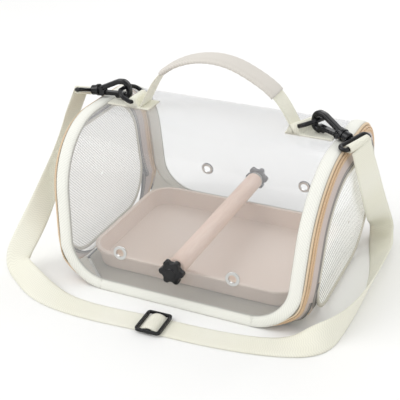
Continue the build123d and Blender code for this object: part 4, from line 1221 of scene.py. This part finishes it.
binding_path = to_end(door_line(21.8, FOOT + 1.8, 41.2), BULGE + 0.9)
b_along = unit(np.roll(binding_path, -1, 0) - np.roll(binding_path, 1, 0))
b_out = np.tile([cos(END_LEAN), 0, -sin(END_LEAN)], (len(binding_path), 1))
b_across = np.cross(b_out, b_along)
angle = np.linspace(0, 2 * pi, 13)[:-1]
pipe = binding_path[:, None] + b_across[:, None] * (PIPE_WIDE * np.cos(angle))[:, None] \
    + b_out[:, None] * (PIPE_HIGH * np.sin(angle))[:, None]
pipe_uv = strip_uv(lengths(close_rows(binding_path)), angle * PIPE_WIDE)

net_line = door_line(22.5, FOOT + 2.4, 40.5)
ray = np.linspace(NET_FROM, 1, 26)[:, None, None]
net = NET_MIDDLE + (net_line[None] - NET_MIDDLE) * ray
net_grid = to_end(net, BULGE + 0.6 + BILLOW * (1 - ray[..., 0] ** 2) * np.ones(len(net_line)))
print("binding", round(lengths(close_rows(binding_path))[-1]), "mm round, net grid", net_grid.shape[:2])

# %% [markdown]
# ## The two doors
# Both doors use the same grids, mirrored for the left. Each door's pieces ride on its own body, so they swing with
# its hinge, and the door's half of the zip coil goes with them.

# %% Doors
COIL_FROM = 49  # height above which the coil belongs to the door
high_seam = seam[0][:, 2] > COIL_FROM
for name, end in ENDS:
    flip, door = np.array([end, 1, 1]), f"door_{name}"
    rows = on_end([part[high_seam] for part in seam], end)
    dress(surface(f"door_zip_cloth_{name}", tape_grid * flip, door, tape_uv), "zip", f"door_tape_{name}")
    dress(strip(f"door_coil_{name}", *rows, DOOR_COIL, door), "coil")
    dress(surface(f"door_binding_{name}", close_rows(pipe) * flip, door, pipe_uv), "binding", f"door_piping_{name}")
    dress(surface(f"door_net_{name}", net_grid * flip, door, net), "mesh", f"door_mesh_{name}")
print("door coil from", COIL_FROM, "mm up,", int(high_seam.sum()), "rows of it on each door")

# %% [markdown]
# ## The handle's line
# One run of webbing stands up from the top in an arch. Its line is straight runs joined by circles, then smoothed,
# because stiff webbing bends in long curves. The same line serves the sleeve, the webbing inside it and the legs.

# %% Handle line
HANDLE = np.array([(-82, 148), (-60, 193), (-22, 209.5), (12, 209.5), (58, 187), (81.5, 148)], float)
HANDLE_R = [42, 50, 50, 45]
TOP_Z = BAG_H - 1.5
ROUTE_STEP, SMOOTH_ARCH = 2.0, 17  # way between the line's points, and rows in its running mean


def rounded(points, radii):
    """A route whose corners are circles that touch both runs: reach = r / tan(half the corner's angle)."""
    out = [points[0]]
    for before, at, after, r in zip(points[:-2], points[1:-1], points[2:], radii):
        u, v = unit(before - at), unit(after - at)
        half = np.arccos(np.clip(np.dot(u, v), -1, 1)) / 2
        reach = r / tan(half)
        mid = at + unit(u + v) * (r / sin(half))
        a, b = at + u * reach - mid, at + v * reach - mid
        sweep = np.arccos(np.clip(np.dot(a, b) / r**2, -1, 1))
        t = np.linspace(0, 1, max(4, int(sweep * r / ROUTE_STEP)))[:, None]
        out.extend(mid + (np.sin((1 - t) * sweep) * a + np.sin(t * sweep) * b) / sin(sweep))
    out = np.array(out + [points[-1]])
    run = lengths(out)
    even = np.arange(0, run[-1], ROUTE_STEP)
    return np.c_[np.interp(even, run, out[:, 0]), np.interp(even, run, out[:, 1])]


arch = smooth_rows(rounded(HANDLE, HANDLE_R), SMOOTH_ARCH)
arch = np.c_[arch[:, 0], np.zeros(len(arch)), arch[:, 1]]
arch_across = np.tile([0.0, 1.0, 0.0], (len(arch), 1))
arch_out = np.cross(arch_across, unit(np.gradient(arch, axis=0)))
arch_out *= np.sign(arch_out[len(arch) // 2, 2])
handle_rows = arch, arch_across, arch_out
print("handle run", round(lengths(arch)[-1]), "mm")

# %% [markdown]
# ## Sleeve and legs
# A padded sleeve is sewn round the middle of the handle, pinched along its two edges and lightly wrinkled there. The
# legs are the line's two ends, from under the sleeve's ends down to just above the top, and ride on no body.

# %% Handle pieces
SLEEVE_END, LEG_FROM = 57.6, 55.0
SLEEVE_W, SLEEVE_T, PINCH_AT, SLEEVE_POINTS = 14.0, 2.9, 11.0, 40
WRINKLE, WRINKLE_STEP, WRINKLE_FROM = 0.00018, 0.0062, 0.006  # in metres


def sleeve_profile():
    """A flat oval, y = 14 cos^0.55 and h = 2.9 sin^0.8, pinched by 1 - 0.35 exp(-((|y| - 11) / 1.1)^2)."""
    a = np.linspace(0, 2 * pi, SLEEVE_POINTS + 1)[:-1]
    c, s = np.cos(a), np.sin(a)
    y = SLEEVE_W * np.sign(c) * np.abs(c) ** 0.55
    h = SLEEVE_T * np.sign(s) * np.abs(s) ** 0.8 * (1 - 0.35 * np.exp(-(((np.abs(y) - PINCH_AT) / 1.1) ** 2)))
    return np.c_[y, h]


sleeve_rows = [part[np.abs(arch[:, 0]) <= SLEEVE_END] for part in handle_rows]
sleeve = strip("handle_pad", *sleeve_rows, sleeve_profile(), "handle")
co = np.empty(len(sleeve.data.vertices) * 3, np.float32)
sleeve.data.vertices.foreach_get("co", co)
co = co.reshape(-1, 3).astype(float)
wave = np.sin(co[:, 0] * 2 * pi / WRINKLE_STEP + 4 * np.sin(co[:, 1] * 180))
co[:, 2] += WRINKLE * wave * (np.abs(co[:, 1]) > WRINKLE_FROM)
sleeve.data.vertices.foreach_set("co", co.astype(np.float32).ravel())
dress(sleeve, "sleeve", "handle_sleeve")
dress(strip("handle_web", *sleeve_rows, WEB_SECTION, "handle"), "webbing", "handle_webbing")
for name, sign in (("left", -1), ("right", 1)):
    keep = (arch[:, 0] * sign >= LEG_FROM) & (arch[:, 2] > TOP_Z + 1.4)
    leg = strip(f"handle_web_{name}", *[part[keep] for part in handle_rows], WEB_SECTION, None)
    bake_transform(leg)
    dress(leg, "webbing", f"handle_leg_{name}")
print("sleeve rows", len(sleeve_rows[0]))

# %% [markdown]
# ## Cloth pieces that keep their CAD form
# The corner patches, the welts and the base board are small or hidden, and their CAD shapes are right apart from
# their sharp edges. Each is copied, welded, remeshed evenly with a Remesh modifier and eased with Smooth, which
# rounds them as cloth is rounded.

# %% Softened copies
def softened(name, node, key, voxel, rounds):
    """A copy of one CAD node with edges eased by the rounds of smoothing, its voxel size in millimetres."""
    welded = bmesh.new()
    welded.from_mesh(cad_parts[node].data)
    bmesh.ops.remove_doubles(welded, verts=welded.verts, dist=1e-6)
    mesh = bpy.data.meshes.new(name)
    welded.to_mesh(mesh)
    welded.free()
    made = put_in_scene(name, mesh)
    remesh = made.modifiers.new("even", "REMESH")
    remesh.mode, remesh.voxel_size = "VOXEL", voxel * MM
    ease = made.modifiers.new("ease", "SMOOTH")
    ease.factor, ease.iterations = 0.5, rounds
    bpy.context.view_layer.update()
    final = bpy.data.meshes.new_from_object(made.evaluated_get(bpy.context.evaluated_depsgraph_get()))
    made.modifiers.clear()
    made.data = final
    final.name = name
    final.polygons.foreach_set("use_smooth", np.ones(len(final.polygons), bool))
    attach(made, "bag")
    return dress(made, key, node)


for name in ("left", "right"):
    for place in ("front", "back"):
        softened(f"corner_cloth_{place}_{name}", f"corner_{place}_{name}", "corner", 0.8, 4)
    softened(f"end_welt_{name}", f"base_welt_{name}", "welt", 0.5, 3)
board = softened("floor_board", "base_panel", "board", 1.1, 3)
print("floor board", len(board.data.vertices), "points")

# %% [markdown]
# ## Webbing on the top
# A length of webbing is sewn flat to each end of the top, and humps over the bar of its D-ring, which it holds. It
# is a height map too: the cloth stays flat until the bar lifts it, and slopes down on both sides of it.

# %% Top webbing
HUMP_R, HUMP_SLOPE = 2.1 + 0.4 + WEB_T, 2.4  # the bar's radius, a gap and the webbing, and how steeply it falls
ROUND_SHARE = 0.92  # the webbing is round over this share of the hump's radius


def top_web(side_name, low, high):
    """height = the greatest of the flat top and, by the way from the bar, bar + sqrt(radius^2 - away^2) close to
    it or bar - slope (away - radius) further off."""
    (bar_x, bar_y), turn, _ = D_RINGS[side_name]
    gx, gy = np.meshgrid(np.linspace(low, high, 120), np.linspace(-WEB_W / 2, WEB_W / 2, 15), indexing="ij")
    away = np.abs((gx - bar_x) * cos(radians(turn)) + (gy - bar_y) * sin(radians(turn)))
    round_part = BAR_Z + np.sqrt(np.clip(HUMP_R**2 - away**2, 0, None))
    slope = BAR_Z - (away - HUMP_R) * HUMP_SLOPE
    top = np.maximum(TOP_Z + WEB_T, np.where(away < HUMP_R * ROUND_SHARE, round_part, slope))
    top = np.minimum(top, BAR_Z + HUMP_R)
    under = np.full_like(top, TOP_Z + 0.1)
    grid = np.concatenate([np.stack([gx, gy, top], -1), np.stack([gx, gy, under], -1)[:, ::-1]], axis=1)
    dress(surface(f"top_web_{side_name}", grid, "bag", grid[..., :2], capped=True), "webbing",
          f"top_anchor_{side_name}")
    print("webbing on the", side_name, "rises to", top.max().round(1), "mm")


top_web("left", -115.0, -70.0)
top_web("right", 70.0, 115.0)

# %% [markdown]
# ## Rigid pieces
# Knobs, hooks, rings, eyelets, the tray and the perch are exact in CAD, so they keep their mesh and only get a
# finish of their own.

# %% Finishes on the CAD pieces
CAD_FINISH = {
    "eyelet": ["eyelets_front", "eyelets_back"],
    "tray": ["tray"],
    "perch": ["perch_dowel"],
    "insert": ["perch_inserts"],
    "knob": ["star_knob_front", "star_knob_back"],
    "stud": ["knob_stud_front", "knob_stud_back"],
    "washer": ["knob_washer_front", "knob_washer_back"],
    "slider": ["zip_slider_left", "zip_slider_right", "zip_pull_left", "zip_pull_right"],
    "hardware": [f"{piece}_{side}" for piece in ("d_ring", "snap_hook", "snap_gate", "swivel_ring")
                 for side in ("left", "right")] + ["strap_slider"],
}
for key, names in CAD_FINISH.items():
    for node in names:
        finish_with(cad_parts[node], key)
print("CAD pieces finished", sum(len(names) for names in CAD_FINISH.values()))

# %% [markdown]
# ## Floor
# A large white floor. It is matt, so that it takes a soft
# shadow and shows no reflection of the lamps.

# %% Floor
FLOOR_HALF = 4.0  # in metres
floor_mesh = bpy.data.meshes.new("floor")
floor_mesh.from_pydata([(x * FLOOR_HALF, y * FLOOR_HALF, 0) for x, y in ((-1, -1), (1, -1), (1, 1), (-1, 1))],
                       [], [(0, 1, 2, 3)])
floor = put_in_scene("floor", floor_mesh)
paint, _, shader, _ = start_material("floor paint")
settle(shader, Base_Color=(0.93, 0.93, 0.92, 1), Roughness=0.9, Specular_IOR_Level=0.1)
floor.data.materials.append(paint)
print("floor", 2 * FLOOR_HALF, "m wide")

# %% [markdown]
# ## White background
# The world is white only for the camera's own rays, in reflections and through clear material. A plain white world
# would be simpler, but everything else gets a weaker light from this one, so it adds no glare to a pale object.

# %% World
SOFT_LIGHT, WHITE_LIGHT = 0.75, 1.0

world = bpy.data.worlds.new("studio")
scene.world = world
world.use_nodes = True
tree = world.node_tree
soft = tree.nodes["Background"]
soft.inputs["Color"].default_value = (1, 1, 1, 1)
soft.inputs["Strength"].default_value = SOFT_LIGHT
white = tree.nodes.new("ShaderNodeBackground")
white.inputs["Strength"].default_value = WHITE_LIGHT
rays = tree.nodes.new("ShaderNodeLightPath")
mirrored = calc(tree, "MAXIMUM", rays.outputs["Is Glossy Ray"], rays.outputs["Is Transmission Ray"])
choose = tree.nodes.new("ShaderNodeMixShader")
tree.links.new(calc(tree, "MAXIMUM", rays.outputs["Is Camera Ray"], mirrored), choose.inputs[0])
tree.links.new(soft.outputs[0], choose.inputs[1])
tree.links.new(white.outputs[0], choose.inputs[2])
tree.links.new(choose.outputs[0], tree.nodes["World Output"].inputs["Surface"])
print("world light", SOFT_LIGHT)

# %% [markdown]
# ## Lamps
# Three large area lamps, as in a small photo studio: one from the left like a window, a weak one from the right to
# lift the shadows, and one from behind that draws the edges of the clear wrap.

# %% Lamps
LAMP_AIM = Vector((0, 0, 0.06))  # a place inside the bag, in metres


def lamp(name, at, size, power):
    """A square area lamp that looks at the bag."""
    light = bpy.data.lights.new(name, "AREA")
    light.size, light.energy = size, power
    made = put_in_scene(name, light)
    made.location = at
    made.rotation_euler = (LAMP_AIM - Vector(at)).to_track_quat("-Z", "Y").to_euler()


lamp("window light", (-1.2, -0.9, 1.5), 1.4, 16.0)
lamp("fill", (1.6, -1.0, 0.9), 1.6, 5.0)
lamp("back light", (0.3, 1.5, 1.2), 1.4, 8.0)
